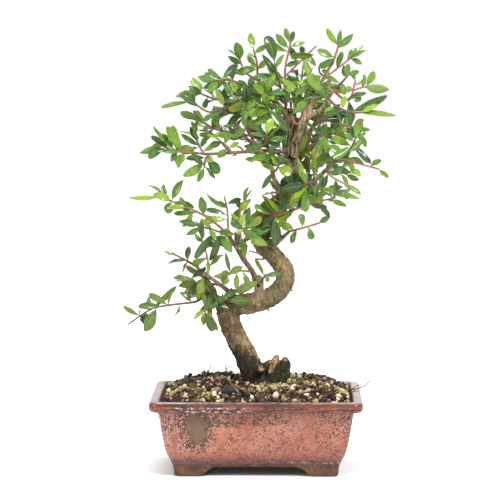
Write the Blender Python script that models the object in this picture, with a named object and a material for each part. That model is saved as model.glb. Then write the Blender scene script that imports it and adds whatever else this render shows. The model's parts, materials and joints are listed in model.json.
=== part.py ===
"""Pomegranate bonsai in a glazed tray pot.

The pot stands on four cloud feet and holds a mound of granular soil. The trunk stands in a plain
hole in the soil, bends twice and carries two leaders and thin arms. Every leafy twig is one spray.
All sizes are in millimetres, and MM turns them into Blender's metres. +X is right, +Y is away from
the viewer and +Z is up. The origin is on the ground, under the middle of the pot.
"""

import math

import bpy
import numpy as np
from mathutils import Vector
from mathutils.bvhtree import BVHTree

MM = 0.001
GAP = 0.3

# Driving sizes of the pot
POT_HALF_X = 100.0
POT_HALF_Y = 75.0
POT_CORNER = 8.0
CORNER_POINTS = 5
FLOOR_TOP = 16.0
UNDERSIDE = 9.0
DRAIN_X = 38.0
DRAIN_RADIUS = 7.0

# Driving sizes of the soil and of the root base that stands in it
SOIL_RINGS = 10
SOIL_RELIEF = 1.3
HOLE_X = 9.0
HOLE_Y = 1.0
HOLE_HALF_X = 24.0
HOLE_HALF_Y = 16.0
HOLE_FLOOR = 42.0
SOIL_EDGE = 70.6
SOIL_RISE = 11.0

# Driving sizes of twigs and leaves
ROOT_GAP = 0.38
TWIG_ROOT = 1.35
TWIG_TIP = 0.85
TWIG_SIDES = 4
KEEL = 0.9
SHORT_LEAF = 20.0
CLEAR = 0.45
STRAY = 0.35
DRAWS = 70

# Inset from the rim's outline and height, up the outside, over the rim and down the inside
POT_PROFILE = [
    (23.4, 0.0), (22.8, 1.2), (22.0, 9.0), (21.2, 11.4), (19.6, 15.0), (15.4, 23.0), (12.4, 38.0),
    (8.7, 61.0), (7.6, 62.6), (1.2, 63.6), (0.0, 65.0), (0.0, 70.6), (0.7, 72.3), (2.2, 73.0),
    (8.6, 73.0), (10.0, 72.2), (10.6, 67.5), (13.6, 63.0), (15.8, 57.0), (19.4, 38.0), (22.6, 23.0),
    (26.0, 16.0),
]
# One end of a foot: distance from the middle and height of the arch that separates two feet
ARCH_X = [(54.5, -1.0), (54.5, 0.0), (51.8, 0.9), (48.4, 2.6), (46.0, 4.9), (43.4, 6.9), (40.0, 8.4),
          (36.5, 9.0)]
ARCH_Y = [(32.5, -1.0), (32.5, 0.0), (30.2, 0.9), (27.2, 2.6), (25.0, 4.9), (22.8, 6.9), (20.0, 8.4),
          (17.0, 9.0)]

# Centre lines of the wood: x, y, z and radius
WOOD = {
    "trunk": [
        (0, 1, 79, 11.2), (-4, -2, 93, 11.5), (-10, -4, 107, 10.7), (-17, -5, 121, 10.3),
        (-24, -4, 136, 10.3), (-27, -2, 149, 10.9), (-19, -1, 156, 10.1), (-7, -2, 158, 9.7),
        (8, -3, 162, 9.5), (20, -2, 169, 9.3), (27, 0, 180, 9.0), (25, 3, 192, 8.8),
        (16, 6, 203, 8.6), (7, 9, 212, 8.6), (2, 12, 223, 8.2), (5, 14, 236, 8.0),
        (15, 13, 249, 7.8), (30, 10, 261, 7.8), (40, 6, 272, 7.8), (43, 3, 283, 7.4),
    ],
    "lobe_left": [
        (13, -3, 70, 9.6), (14, -5, 84, 9.2), (16, -6, 93, 7.6), (18, -7, 101, 5.4), (19, -7, 107, 2.8),
    ],
    "lobe_right": [
        (22, 0, 70, 9.6), (23, -1, 84, 8.6), (25, -2, 94, 6.4), (27, -2, 101, 4.8), (27, -2, 104, 3.0),
    ],
    "leader_left": [
        (42, 4, 278, 6.9), (34, 3, 292, 6.9), (29, 2, 306, 6.3), (32, 1, 323, 6.5),
        (31, 0, 335, 6.7), (29, 0, 342, 4.8),
    ],
    "leader_stub": [
        (33, -4, 299, 4.4), (40, -9, 320, 4.6), (45, -11, 337, 4.8), (50, -12, 351, 5.0),
        (53, -12, 360, 4.4),
    ],
    "leader_right": [
        (42, 5, 280, 5.2), (48, 9, 295, 3.4), (48, 12, 312, 2.9), (53, 12, 326, 2.6),
        (68, 12, 345, 2.0),
    ],
    "stem_left": [
        (22, 9, 254, 3.2), (20, -9, 266, 2.6), (15, -14, 283, 2.4), (11, -16, 296, 2.5),
        (1, -17, 307, 2.3), (-4, -18, 315, 1.9),
    ],
    "arm_left": [
        (9, -16, 298, 2.2), (-4, -14, 303, 2.1), (-25, -13, 302, 1.9), (-46, -14, 301, 1.7),
        (-57, -14, 302, 1.5),
    ],
    "arm_up_left": [
        (31, -1, 337, 2.9), (19, -6, 348, 2.4), (9, -10, 355, 2.1), (-3, -13, 357, 1.9),
        (-14, -14, 363, 1.6),
    ],
    "arm_dark": [(28, 1, 339, 2.6), (13, 5, 353, 2.1), (2, 8, 369, 1.6)],
    "arm_top": [
        (33, 1, 326, 3.2), (48, 4, 338, 2.7), (54, 6, 350, 2.3), (61, 7, 368, 1.9),
        (67, 6, 379, 1.8), (72, 5, 387, 1.6),
    ],
    "arm_right": [(45, -11, 335, 3.0), (59, -14, 342, 2.2), (69, -18, 356, 1.8), (75, -20, 364, 1.5)],
    "arm_low_right": [
        (41, 3, 272, 4.2), (53, -15, 275, 2.8), (65, -18, 286, 2.2), (79, -20, 299, 1.8),
        (87, -20, 305, 1.5),
    ],
    "elbow_stub": [(-26, -1, 151, 7.0), (-39, -6, 162, 5.0), (-47, -9, 170, 4.2)],
    "knee": [(2, -3, 157, 5.6), (2, -8, 169, 4.6), (2, -9, 182, 4.4)],
    "knee_branch": [
        (1, -9, 177, 3.4), (-4, -11, 189, 3.0), (-13, -14, 202, 2.6), (-20, -16, 214, 2.2),
        (-25, -17, 222, 1.7),
    ],
    "knee_fork": [(-12, -13, 200, 2.4), (-14, -12, 213, 2.0), (-16, -11, 226, 1.6)],
    "low_branch": [
        (-12, -3, 157, 3.4), (-33, -16, 176, 2.4), (-46, -19, 186, 2.1), (-56, -20, 194, 1.8),
        (-63, -20, 199, 1.5),
    ],
    "spur_right": [(9, 6, 208, 4.2), (19, 0, 216, 2.8), (31, -4, 227, 1.8)],
    "cut_spur": [(2, -17, 306, 2.2), (-10, -12, 316, 2.1), (-19, -6, 329, 1.8)],
    "arm_back_high": [(31, 1, 314, 3.4), (22, 18, 330, 2.6), (8, 36, 344, 1.7)],
    "arm_back_right": [(34, 3, 291, 3.8), (50, 22, 304, 2.7), (66, 40, 314, 1.7)],
    "arm_back_low": [(15, 13, 249, 3.8), (30, 28, 250, 2.7), (46, 42, 254, 1.7)],
    "arm_back_mid": [(40, 5, 273, 3.8), (30, 24, 289, 2.7), (12, 44, 306, 1.7)],
}

# Sprays: each twig is a list of points, and the first point of the first twig is inside the wood.
# A leaf that shapes the outline is given by base and tip as seen from the front (x, z, x, z) and
# its width. "more" is the number of pairs that the growth rule adds.
SPRAYS = {
    "spray_low_left": {
        "twigs": [
            [(-47, -9, 169), (-57, -13, 161), (-79, -14, 158), (-100, -8, 153), (-123, 4, 137)],
        ],
        "leaves": [
            (-99, 154, -76, 175, 5.5), (-105, 151, -105, 137, 10.5), (-102, 154, -103, 165, 5),
            (-110, 149, -128, 155, 4.5), (-84, 157, -79, 172, 5), (-72, 159, -78, 147, 5),
            (-63, 159, -73, 170, 5.5),
        ],
        "more": 0,
    },
    "spray_elbow": {
        "twigs": [
            [(-39, -6, 161), (-44, -18, 159), (-48, -26, 153)],
        ],
        "leaves": [
            (-44, 158, -25, 153, 7.5), (-48, 153, -50, 139, 6.5), (-48, 153, -41, 134, 6.5),
            (-48, 156, -60, 145, 5), (-41, 159, -51, 165, 5.5),
        ],
        "more": 0,
    },
    "spray_branch_end": {
        "twigs": [
            [(-62, -20, 198), (-68, -25, 202), (-77, -28, 207)],
        ],
        "leaves": [
            (-65, 200, -64, 214, 5.5), (-67, 201, -84, 197, 5), (-63, 199, -70, 189, 5.5),
            (-74, 205, -88, 209, 5),
        ],
        "more": 0,
    },
    "spray_branch_up": {
        "twigs": [
            [(-46, -19, 186), (-45, -30, 195), (-47, -35, 209), (-52, -36, 223)],
        ],
        "leaves": [
            (-45, 196, -31, 207, 5.5), (-46, 205, -60, 199, 5.5), (-48, 212, -38, 221, 5),
            (-51, 221, -58, 228, 4),
        ],
        "more": 1,
    },
    "spray_branch_low": {
        "twigs": [
            [(-33, -16, 176), (-43, -5, 177), (-54, 3, 177), (-62, 8, 174)],
        ],
        "leaves": [
            (-53, 177, -75, 174, 7.5), (-57, 176, -76, 180, 5.5), (-49, 176, -64, 163, 7.5),
            (-43, 177, -53, 186, 5.5),
        ],
        "more": 1,
    },
    "spray_knee_left": {
        "twigs": [
            [(-4, -11, 189), (-16, -22, 191), (-27, -30, 188)],
        ],
        "leaves": [
            (-23, 189, -29, 210, 4), (-27, 188, -13, 196, 6.5), (-27, 188, -31, 178, 8.5),
            (-18, 190, -19, 174, 5.5), (-12, 191, -5, 175, 5.5),
        ],
        "more": 1,
    },
    "spray_knee_right": {
        "twigs": [
            [(2, -9, 176), (6, -17, 183), (9, -23, 188)],
        ],
        "leaves": [
            (7, 188, 24, 189, 5), (5, 187, -2, 203, 4.5), (8, 188, 10, 180, 5),
        ],
        "more": 0,
    },
    "spray_mid_left": {
        "twigs": [
            [(-25, -17, 221), (-34, -21, 232), (-50, -26, 244), (-70, -22, 253), (-91, -14, 260)],
        ],
        "leaves": [
            (-90, 260, -122, 260, 4.5), (-81, 258, -69, 277, 7.5), (-86, 259, -88, 273, 5),
            (-80, 257, -84, 245, 8.5), (-55, 247, -78, 245, 5), (-63, 251, -72, 261, 5),
            (-50, 244, -52, 262, 7.5),
        ],
        "more": 1,
    },
    "spray_mid_up_left": {
        "twigs": [
            [(-23, -17, 218), (-27, -6, 230), (-28, 1, 245), (-31, 5, 259)],
        ],
        "leaves": [
            (-29, 250, -48, 263, 4.5), (-27, 241, -48, 248, 5), (-27, 236, -50, 237, 7.5),
            (-29, 252, -15, 257, 5), (-28, 247, -37, 255, 5),
        ],
        "more": 0,
    },
    "spray_mid_up": {
        "twigs": [
            [(-16, -11, 225), (-16, -5, 235), (-16, -2, 245), (-11, 0, 257)],
        ],
        "leaves": [
            (-15, 245, -5, 258, 7.5), (-16, 238, -7, 249, 5.5), (-16, 233, -25, 244, 5.5),
            (-14, 249, -20, 259, 5),
        ],
        "more": 1,
    },
    "spray_mid_low": {
        "twigs": [
            [(-20, -16, 213), (-24, -27, 222), (-37, -37, 230), (-53, -43, 235)],
        ],
        "leaves": [
            (-48, 233, -66, 226, 5), (-37, 230, -58, 205, 7.5), (-34, 229, -44, 201, 6.5),
            (-26, 223, -28, 211, 7.5), (-41, 232, -53, 241, 5.5),
        ],
        "more": 0,
    },
    "spray_mid_front": {
        "twigs": [
            [(-15, -12, 213), (-11, -25, 218), (-9, -34, 225), (-12, -40, 233)],
        ],
        "leaves": [
            (-12, 231, -24, 239, 7.5), (-10, 225, 11, 216, 8.5), (-11, 219, -11, 205, 6.5),
            (-10, 229, 7, 229, 6), (-11, 232, 5, 243, 7.5), (-9, 223, -17, 214, 5.5),
        ],
        "more": 0,
    },
    "spray_mid_right": {
        "twigs": [
            [(31, -4, 227), (41, -9, 230), (51, -11, 233), (61, -9, 236)],
        ],
        "leaves": [
            (37, 229, 22, 235, 7.5), (43, 231, 42, 244, 6.5), (49, 233, 52, 220, 6.5),
            (58, 235, 70, 242, 5.5), (39, 230, 33, 216, 5.5),
        ],
        "more": 0,
    },
    "spray_red_branch": {
        "twigs": [
            [(5, 13, 233), (12, -4, 240), (22, -14, 244), (39, -20, 250), (56, -22, 256),
                (74, -18, 260)],
        ],
        "leaves": [
            (67, 258, 85, 252, 5), (37, 249, 39, 265, 9.5), (21, 244, 10, 259, 5),
            (24, 245, 23, 269, 7.5), (55, 256, 69, 243, 5), (47, 253, 55, 265, 5),
        ],
        "more": 1,
    },
    "spray_left_arm_end": {
        "twigs": [
            [(-57, -14, 302), (-70, -14, 303), (-80, -10, 305), (-92, -5, 309)],
        ],
        "leaves": [
            (-85, 306, -103, 297, 7), (-80, 305, -98, 327, 5), (-84, 307, -100, 318, 5.5),
            (-71, 304, -85, 327, 9), (-67, 303, -75, 287, 9), (-76, 305, -81, 294, 5.5),
        ],
        "more": 1,
    },
    "spray_left_arm_low": {
        "twigs": [
            [(-45, -14, 301), (-48, -22, 296), (-49, -30, 289)],
        ],
        "leaves": [
            (-47, 298, -67, 297, 5.5), (-48, 295, -69, 281, 8), (-47, 297, -35, 283, 9.5),
            (-48, 290, -39, 278, 5.5), (-49, 289, -55, 275, 5.5),
        ],
        "more": 0,
    },
    "spray_left_arm_up": {
        "twigs": [
            [(-49, -14, 301), (-53, -3, 305), (-56, 7, 310), (-61, 17, 318)],
        ],
        "leaves": [
            (-54, 307, -72, 319, 5), (-53, 306, -48, 317, 5), (-57, 312, -64, 326, 5),
            (-51, 303, -40, 309, 5),
        ],
        "more": 2,
    },
    "spray_left_arm_in": {
        "twigs": [
            [(-24, -13, 302), (-27, -24, 308), (-32, -34, 313)],
        ],
        "leaves": [
            (-26, 306, -16, 312, 5.5), (-27, 307, -37, 298, 5.5), (-32, 313, -44, 309, 6.5),
            (-30, 311, -28, 323, 5.5),
        ],
        "more": 1,
    },
    "spray_left_spur": {
        "twigs": [
            [(-16, -6, 326), (-26, 3, 322), (-38, 9, 323), (-56, 15, 332)],
        ],
        "leaves": [
            (-56, 332, -62, 321, 5), (-44, 325, -49, 312, 5), (-33, 322, -42, 331, 5.5),
            (-50, 328, -58, 340, 5),
        ],
        "more": 2,
    },
    "spray_left_high_low": {
        "twigs": [
            [(-3, -13, 357), (-12, -21, 354), (-26, -27, 347), (-44, -28, 341), (-61, -24, 351)],
        ],
        "leaves": [
            (-61, 350, -90, 345, 4.5), (-61, 351, -62, 362, 6.5), (-54, 347, -71, 357, 5),
            (-26, 347, -30, 359, 5.5), (-18, 349, -30, 338, 7.5), (-41, 343, -50, 333, 5),
        ],
        "more": 1,
    },
    "spray_left_high_mid": {
        "twigs": [
            [(-14, -14, 363), (-24, -11, 356), (-37, -7, 352), (-57, -1, 359)],
        ],
        "leaves": [
            (-34, 353, -23, 343, 5.5), (-45, 354, -50, 344, 5), (-54, 358, -65, 365, 5),
            (-31, 354, -39, 361, 5.5),
        ],
        "more": 2,
    },
    "spray_left_high": {
        "twigs": [
            [(-10, -14, 361), (-17, -25, 368), (-27, -33, 371), (-38, -38, 371)],
        ],
        "leaves": [
            (-29, 371, -45, 381, 5), (-36, 371, -55, 374, 6.5), (-35, 371, -44, 360, 7.5),
            (-21, 369, -24, 382, 6.5), (-25, 371, -19, 359, 5.5),
        ],
        "more": 0,
    },
    "spray_left_dark": {
        "twigs": [
            [(-4, -18, 315), (-9, -25, 329), (-11, -29, 341), (-10, -31, 352)],
        ],
        "leaves": [
            (-10, 334, -31, 343, 5.5), (-10, 349, -26, 343, 7.5), (-7, 322, 4, 332, 7.5),
            (-8, 325, -23, 317, 6.5), (-10, 343, -1, 352, 5.5),
        ],
        "more": 2,
    },
    "spray_left_front": {
        "twigs": [
            [(1, -17, 307), (5, -30, 309), (10, -42, 315), (9, -50, 322)],
        ],
        "leaves": [
            (9, 313, 23, 305, 8.5), (6, 310, -10, 306, 7.5), (9, 315, 28, 317, 5),
            (9, 321, 15, 336, 7.5), (9, 319, -6, 322, 5.5),
        ],
        "more": 0,
    },
    "spray_inner": {
        "twigs": [
            [(31, 0, 332), (23, -13, 336), (14, -23, 341), (9, -31, 347)],
        ],
        "leaves": [
            (15, 341, 29, 323, 8.5), (10, 346, 5, 358, 7.5), (17, 340, 13, 327, 7.5),
            (23, 336, 17, 349, 5.5),
        ],
        "more": 2,
    },
    "spray_stem_low": {
        "twigs": [
            [(15, -14, 283), (19, -25, 287), (21, -33, 292)],
        ],
        "leaves": [
            (20, 289, 33, 283, 10.5), (18, 286, 5, 291, 5.5), (18, 285, 5, 268, 5),
            (21, 292, 27, 302, 5.5),
        ],
        "more": 0,
    },
    "spray_top_left": {
        "twigs": [
            [(2, 8, 369), (-7, 12, 374), (-13, 15, 380), (-17, 17, 391)],
        ],
        "leaves": [
            (-17, 389, -20, 406, 8.5), (-11, 377, -1, 385, 5.5), (-12, 378, -27, 376, 5.5),
            (-15, 385, -28, 393, 5.5),
        ],
        "more": 0,
    },
    "spray_top_pink": {
        "twigs": [
            [(6, 7, 364), (1, -1, 374), (0, -6, 387), (-3, -10, 399)],
        ],
        "leaves": [
            (-3, 398, -6, 415, 6.5), (-2, 395, 9, 403, 5), (0, 384, -9, 394, 5),
            (0, 380, 10, 391, 5.5),
        ],
        "more": 0,
    },
    "spray_top_mid": {
        "twigs": [
            [(30, 0, 335), (25, -9, 354), (21, -12, 369), (17, -16, 386)],
        ],
        "leaves": [
            (17, 387, 9, 412, 10.5), (19, 378, 5, 395, 6.5), (21, 371, 11, 382, 7.5),
            (23, 361, 14, 373, 7.5), (24, 357, 37, 365, 6.5), (18, 383, 26, 395, 5),
        ],
        "more": 0,
    },
    "spray_top_red": {
        "twigs": [
            [(32, 0, 336), (32, 9, 348), (27, 12, 364), (27, 12, 383), (30, 12, 397), (32, 12, 406)],
            [(28, 12, 376), (41, 18, 388), (56, 24, 402)],
        ],
        "leaves": [
            (29, 399, 18, 414, 6.5), (27, 382, 40, 389, 5), (30, 402, 46, 406, 5),
            (27, 374, 14, 367, 5.5), (48, 395, 56, 383, 5), (44, 391, 42, 402, 5),
        ],
        "more": 1,
    },
    "spray_stub_top": {
        "twigs": [
            [(53, -12, 361), (52, -20, 367), (49, -28, 374)],
        ],
        "leaves": [
            (51, 369, 65, 353, 7.5), (49, 373, 47, 388, 6.5), (50, 371, 38, 367, 6.5),
            (51, 369, 62, 375, 5.5), (52, 366, 41, 358, 5.5),
        ],
        "more": 0,
    },
    "spray_top_right": {
        "twigs": [
            [(61, 7, 368), (67, 13, 374), (79, 19, 383), (92, 23, 393)],
        ],
        "leaves": [
            (86, 388, 95, 400, 5), (82, 385, 84, 373, 5.5), (77, 382, 81, 397, 5.5),
            (71, 377, 61, 379, 4.5), (90, 392, 100, 385, 5),
        ],
        "more": 1,
    },
    "spray_top_end": {
        "twigs": [
            [(72, 5, 387), (75, 2, 396), (77, 0, 403)],
        ],
        "leaves": [
            (77, 403, 66, 419, 5.5), (77, 402, 79, 418, 4.5), (76, 400, 91, 414, 6.5),
            (74, 392, 57, 399, 7), (73, 389, 59, 382, 7),
        ],
        "more": 0,
    },
    "spray_right_high": {
        "twigs": [
            [(75, -20, 364), (81, -27, 370), (85, -33, 375)],
        ],
        "leaves": [
            (78, 367, 64, 375, 5), (84, 373, 86, 386, 5.5), (79, 368, 83, 357, 5.5),
            (85, 375, 96, 379, 5),
        ],
        "more": 0,
    },
    "spray_right_red": {
        "twigs": [
            [(73, -19, 360), (80, -15, 354), (88, -11, 353), (93, -6, 370)],
            [(91, -9, 361), (97, -5, 363), (106, -2, 365)],
        ],
        "leaves": [
            (98, 363, 101, 376, 5.5), (104, 365, 111, 379, 7), (90, 356, 98, 351, 6.5),
            (93, 369, 87, 378, 5),
        ],
        "more": 0,
    },
    "spray_right_long": {
        "twigs": [
            [(67, -17, 354), (74, -25, 347), (87, -33, 341), (99, -38, 341)],
        ],
        "leaves": [
            (88, 341, 122, 357, 8), (92, 341, 130, 338, 5), (79, 345, 83, 356, 6),
            (74, 346, 64, 338, 5.5), (96, 341, 113, 348, 5.5),
        ],
        "more": 0,
    },
    "spray_right_mid": {
        "twigs": [
            [(53, 11, 326), (66, 17, 331), (79, 21, 328), (92, 23, 325)],
        ],
        "leaves": [
            (70, 330, 89, 340, 5.5), (85, 326, 74, 318, 6.5), (92, 325, 108, 322, 5),
            (88, 325, 104, 306, 7), (91, 325, 102, 332, 5), (66, 331, 70, 344, 5.5),
        ],
        "more": 0,
    },
    "spray_right_front": {
        "twigs": [
            [(48, 10, 312), (53, -5, 315), (60, -17, 317), (65, -26, 320)],
        ],
        "leaves": [
            (59, 317, 76, 324, 9.5), (57, 316, 58, 301, 8), (63, 319, 75, 311, 6.5),
            (61, 318, 65, 331, 5.5),
        ],
        "more": 0,
    },
    "spray_low_right_end": {
        "twigs": [
            [(87, -20, 305), (90, -27, 310), (93, -32, 317)],
        ],
        "leaves": [
            (89, 309, 70, 317, 7.5), (92, 314, 82, 322, 5.5), (91, 312, 107, 293, 8),
            (89, 308, 83, 298, 5.5), (93, 316, 102, 322, 5.5),
        ],
        "more": 0,
    },
    "spray_low_right_red": {
        "twigs": [
            [(79, -20, 299), (88, -13, 294), (99, -7, 291), (116, -1, 286)],
        ],
        "leaves": [
            (114, 287, 125, 278, 4.5), (88, 294, 91, 283, 5), (103, 290, 90, 298, 5),
            (107, 288, 118, 295, 5),
        ],
        "more": 0,
    },
    "spray_low_right_hang": {
        "twigs": [
            [(65, -18, 286), (70, -27, 281), (79, -35, 276), (89, -39, 271)],
        ],
        "leaves": [
            (70, 281, 82, 290, 7.5), (79, 276, 98, 264, 5), (73, 279, 73, 262, 5.5),
            (87, 271, 84, 260, 5), (66, 284, 62, 270, 5.5),
        ],
        "more": 0,
    },
    "spray_dark_fan": {
        "twigs": [
            [(53, -16, 275), (50, -28, 275), (46, -37, 274)],
        ],
        "leaves": [
            (47, 274, 22, 269, 9.5), (49, 275, 34, 283, 7.5), (48, 274, 35, 260, 7.5),
            (51, 275, 57, 260, 8.5), (46, 274, 43, 286, 5.5),
        ],
        "more": 0,
    },
    "spray_back_top": {
        "twigs": [[(33, 2, 333), (38, 17, 350), (42, 30, 368), (44, 40, 384)]],
        "leaves": [],
        "more": 3,
    },
    "spray_back_top_end": {
        "twigs": [[(8, 36, 344), (0, 46, 350), (-10, 58, 357)]],
        "leaves": [],
        "more": 3,
    },
    "spray_back_left_high": {
        "twigs": [[(15, 27, 337), (0, 32, 341), (-14, 33, 340), (-30, 30, 337)]],
        "leaves": [],
        "more": 3,
    },
    "spray_back_right_end": {
        "twigs": [[(66, 40, 314), (77, 50, 320), (88, 60, 322)]],
        "leaves": [],
        "more": 3,
    },
    "spray_back_right_up": {
        "twigs": [[(58, 31, 309), (60, 37, 326), (62, 46, 348)]],
        "leaves": [],
        "more": 3,
    },
    "spray_back_right_low": {
        "twigs": [[(50, 22, 304), (62, 22, 294), (76, 28, 284), (88, 34, 278)]],
        "leaves": [],
        "more": 3,
    },
    "spray_back_low_end": {
        "twigs": [[(46, 42, 254), (56, 50, 258), (67, 56, 263)]],
        "leaves": [],
        "more": 3,
    },
    "spray_back_low_hang": {
        "twigs": [[(38, 35, 252), (30, 46, 257), (19, 56, 261)]],
        "leaves": [],
        "more": 3,
    },
    "spray_back_mid_end": {
        "twigs": [[(12, 44, 306), (0, 54, 312), (-17, 61, 318)]],
        "leaves": [],
        "more": 3,
    },
    "spray_back_mid_low": {
        "twigs": [[(27, 28, 292), (29, 44, 282), (34, 58, 272)]],
        "leaves": [],
        "more": 3,
    },
    "spray_back_crown": {
        "twigs": [[(32, 1, 320), (44, 19, 334), (53, 38, 349), (58, 56, 359)]],
        "leaves": [],
        "more": 3,
    },
    "spray_back_left": {
        "twigs": [[(-25, -13, 302), (-32, 2, 309), (-42, 20, 318), (-50, 34, 322)]],
        "leaves": [],
        "more": 3,
    },
    "spray_back_trunk": {
        "twigs": [[(5, 14, 236), (22, 32, 244), (38, 46, 248), (52, 56, 250)]],
        "leaves": [],
        "more": 3,
    },
}


def clear_scene():
    for obj in list(bpy.data.objects):
        bpy.data.objects.remove(obj)


def material(name, colour, roughness):
    """One plain material with the photo's colour."""
    made = bpy.data.materials.new(name)
    made.use_nodes = True
    shader = made.node_tree.nodes["Principled BSDF"]
    shader.inputs["Base Color"].default_value = (*colour, 1.0)
    shader.inputs["Roughness"].default_value = roughness
    shader.inputs["Metallic"].default_value = 0.0
    return made


def new_object(name, points, faces, look):
    """An object from points in millimetres, not yet in a collection."""
    mesh = bpy.data.meshes.new(name)
    mesh.from_pydata([tuple(float(value) * MM for value in point) for point in points], [], faces)
    mesh.materials.append(look)
    mesh.update()
    return bpy.data.objects.new(name, mesh)


def add_object(name, points, faces, look):
    obj = new_object(name, points, faces, look)
    bpy.context.scene.collection.objects.link(obj)
    return obj


def apply_modifiers(obj):
    """The evaluated mesh takes the place of the object's own mesh and modifiers."""
    graph = bpy.context.evaluated_depsgraph_get()
    made = bpy.data.meshes.new_from_object(obj.evaluated_get(graph))
    obj.modifiers.clear()
    obj.data = made


def boolean_with(obj, name, pieces, operation, solver, look):
    """One Boolean on a collection of pieces, applied, with the pieces then removed."""
    group = bpy.data.collections.new(name)
    bpy.context.scene.collection.children.link(group)
    for number, (points, faces) in enumerate(pieces):
        group.objects.link(new_object(f"{name}_{number}", points, faces, look))
    modifier = obj.modifiers.new(name, "BOOLEAN")
    modifier.operation = operation
    modifier.operand_type = "COLLECTION"
    modifier.collection = group
    modifier.solver = solver
    apply_modifiers(obj)
    for piece in list(group.objects):
        bpy.data.objects.remove(piece)
    bpy.data.collections.remove(group)


def loft(loops):
    """A closed body from loops with equal counts: walls between them and a cap on each end."""
    count = len(loops[0])
    points = [point for loop in loops for point in loop]
    faces = [tuple(reversed(range(count)))]
    for ring in range(len(loops) - 1):
        low = ring * count
        for k in range(count):
            after = (k + 1) % count
            faces.append((low + k, low + after, low + count + after, low + count + k))
    last = (len(loops) - 1) * count
    faces.append(tuple(range(last, last + count)))
    return points, faces


def box(low, high):
    """A block between two corners."""
    corners = [(low[0], low[1]), (high[0], low[1]), (high[0], high[1]), (low[0], high[1])]
    return loft([[(x, y, z) for x, y in corners] for z in (low[2], high[2])])


def tray_outline(half_x, half_y, corner, along_x=1, along_y=1):
    """A rounded rectangle, anticlockwise from above, its straight sides split into equal lengths."""
    arcs = []
    for quarter in range(4):
        centre_x = (half_x - corner) * (1, -1, -1, 1)[quarter]
        centre_y = (half_y - corner) * (1, 1, -1, -1)[quarter]
        for step in range(CORNER_POINTS):
            angle = math.radians(90 * (quarter + step / (CORNER_POINTS - 1)))
            x = centre_x + corner * math.cos(angle)
            y = centre_y + corner * math.sin(angle)
            arcs.append((x, y))
    outline = []
    for k, (x, y) in enumerate(arcs):
        outline.append((x, y))
        if k % CORNER_POINTS == CORNER_POINTS - 1:
            next_x, next_y = arcs[(k + 1) % len(arcs)]
            pieces = along_x if (k // CORNER_POINTS) % 2 == 0 else along_y
            for piece in range(1, pieces):
                share = piece / pieces
                outline.append((x + (next_x - x) * share, y + (next_y - y) * share))
    return outline


def pot_loop(inset, z, along_x=1, along_y=1):
    corner = max(POT_CORNER - 0.12 * inset, 3.0)
    outline = tray_outline(POT_HALF_X - inset, POT_HALF_Y - inset, corner, along_x, along_y)
    return [(x, y, z) for x, y in outline]


def prism(profile, axis, reach):
    """The mirrored arch profile, drawn out along x or y past both faces."""
    outline = profile + [(-u, z) for u, z in reversed(profile)]
    if axis == "y":
        return loft([[(u, v, z) for u, z in outline] for v in (reach, -reach)])
    return loft([[(v, u, z) for u, z in outline] for v in (-reach, reach)])


def cylinder(x, y, radius, low, high, sides):
    turns = [2 * math.pi * k / sides for k in range(sides)]
    ring = [(x + radius * math.cos(turn), y + radius * math.sin(turn)) for turn in turns]
    return loft([[(px, py, z) for px, py in ring] for z in (low, high)])


def make_pot(look):
    pot = add_object("pot", *loft([pot_loop(inset, z) for inset, z in POT_PROFILE]), look)
    cutters = [
        prism(ARCH_X, "y", POT_HALF_Y + 5),
        prism(ARCH_Y, "x", POT_HALF_X + 5),
        box((-64.0, -39.0, -1.0), (64.0, 39.0, UNDERSIDE)),
        cylinder(-DRAIN_X, 0, DRAIN_RADIUS, -2, 30, 16),
        cylinder(DRAIN_X, 0, DRAIN_RADIUS, -2, 30, 16),
    ]
    for number, cutter in enumerate(cutters):
        boolean_with(pot, f"pot_cut_{number}", [cutter], "DIFFERENCE", "EXACT", look)
    return pot


def soil_height(x, y, share, k, ring):
    """The mound, highest round the trunk and at the back, with a grain at every grid point."""
    mound = SOIL_EDGE + SOIL_RISE * (1 - share**2.6) + 4.0 * (1 - share) * y / POT_HALF_Y
    shaken = 437.5 * math.sin(12.9898 * k + 78.233 * ring)
    grain = 2 * (shaken - math.floor(shaken)) - 1
    return mound + SOIL_RELIEF * grain * (0.3 + 0.7 * min(4 * (1 - share), 1.0))


def make_soil(look):
    """The soil fills the pot up to the rim's inner edge and leaves a plain hole for the trunk."""
    sides = [(26.0, FLOOR_TOP), (22.6, 23.0), (19.4, 38.0), (15.8, 57.0), (13.6, 63.0), (10.6, 67.5)]
    loops = []
    for inset, z in sides:
        lift = GAP if z == FLOOR_TOP else 0.0
        loops.append(pot_loop(inset + GAP + 0.05, z + lift, 11, 8))
    outer = pot_loop(10.5 + GAP, 0.0, 11, 8)
    count = len(outer)
    start = math.atan2(outer[0][1], outer[0][0])
    for ring in range(SOIL_RINGS + 1):
        share = 1 - ring / SOIL_RINGS
        loop = []
        for k, (x, y, _) in enumerate(outer):
            angle = start + 2 * math.pi * k / count
            hole_x = HOLE_X + HOLE_HALF_X * math.cos(angle)
            hole_y = HOLE_Y + HOLE_HALF_Y * math.sin(angle)
            px = hole_x + (x - hole_x) * share
            py = hole_y + (y - hole_y) * share
            loop.append((px, py, soil_height(px, py, share, k, ring)))
        loops.append(loop)
    loops.append([(x, y, HOLE_FLOOR) for x, y, _ in loops[-1]])
    soil = add_object("soil", *loft(loops), look)
    for side in (-1, 1):
        low = (side * DRAIN_X - 12.4, -12.4, FLOOR_TOP - 1)
        high = (side * DRAIN_X + 12.4, 12.4, FLOOR_TOP + 2 * GAP + 1.2)
        boolean_with(soil, f"soil_recess_{side}", [box(low, high)], "DIFFERENCE", "EXACT", look)
    return soil


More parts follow.
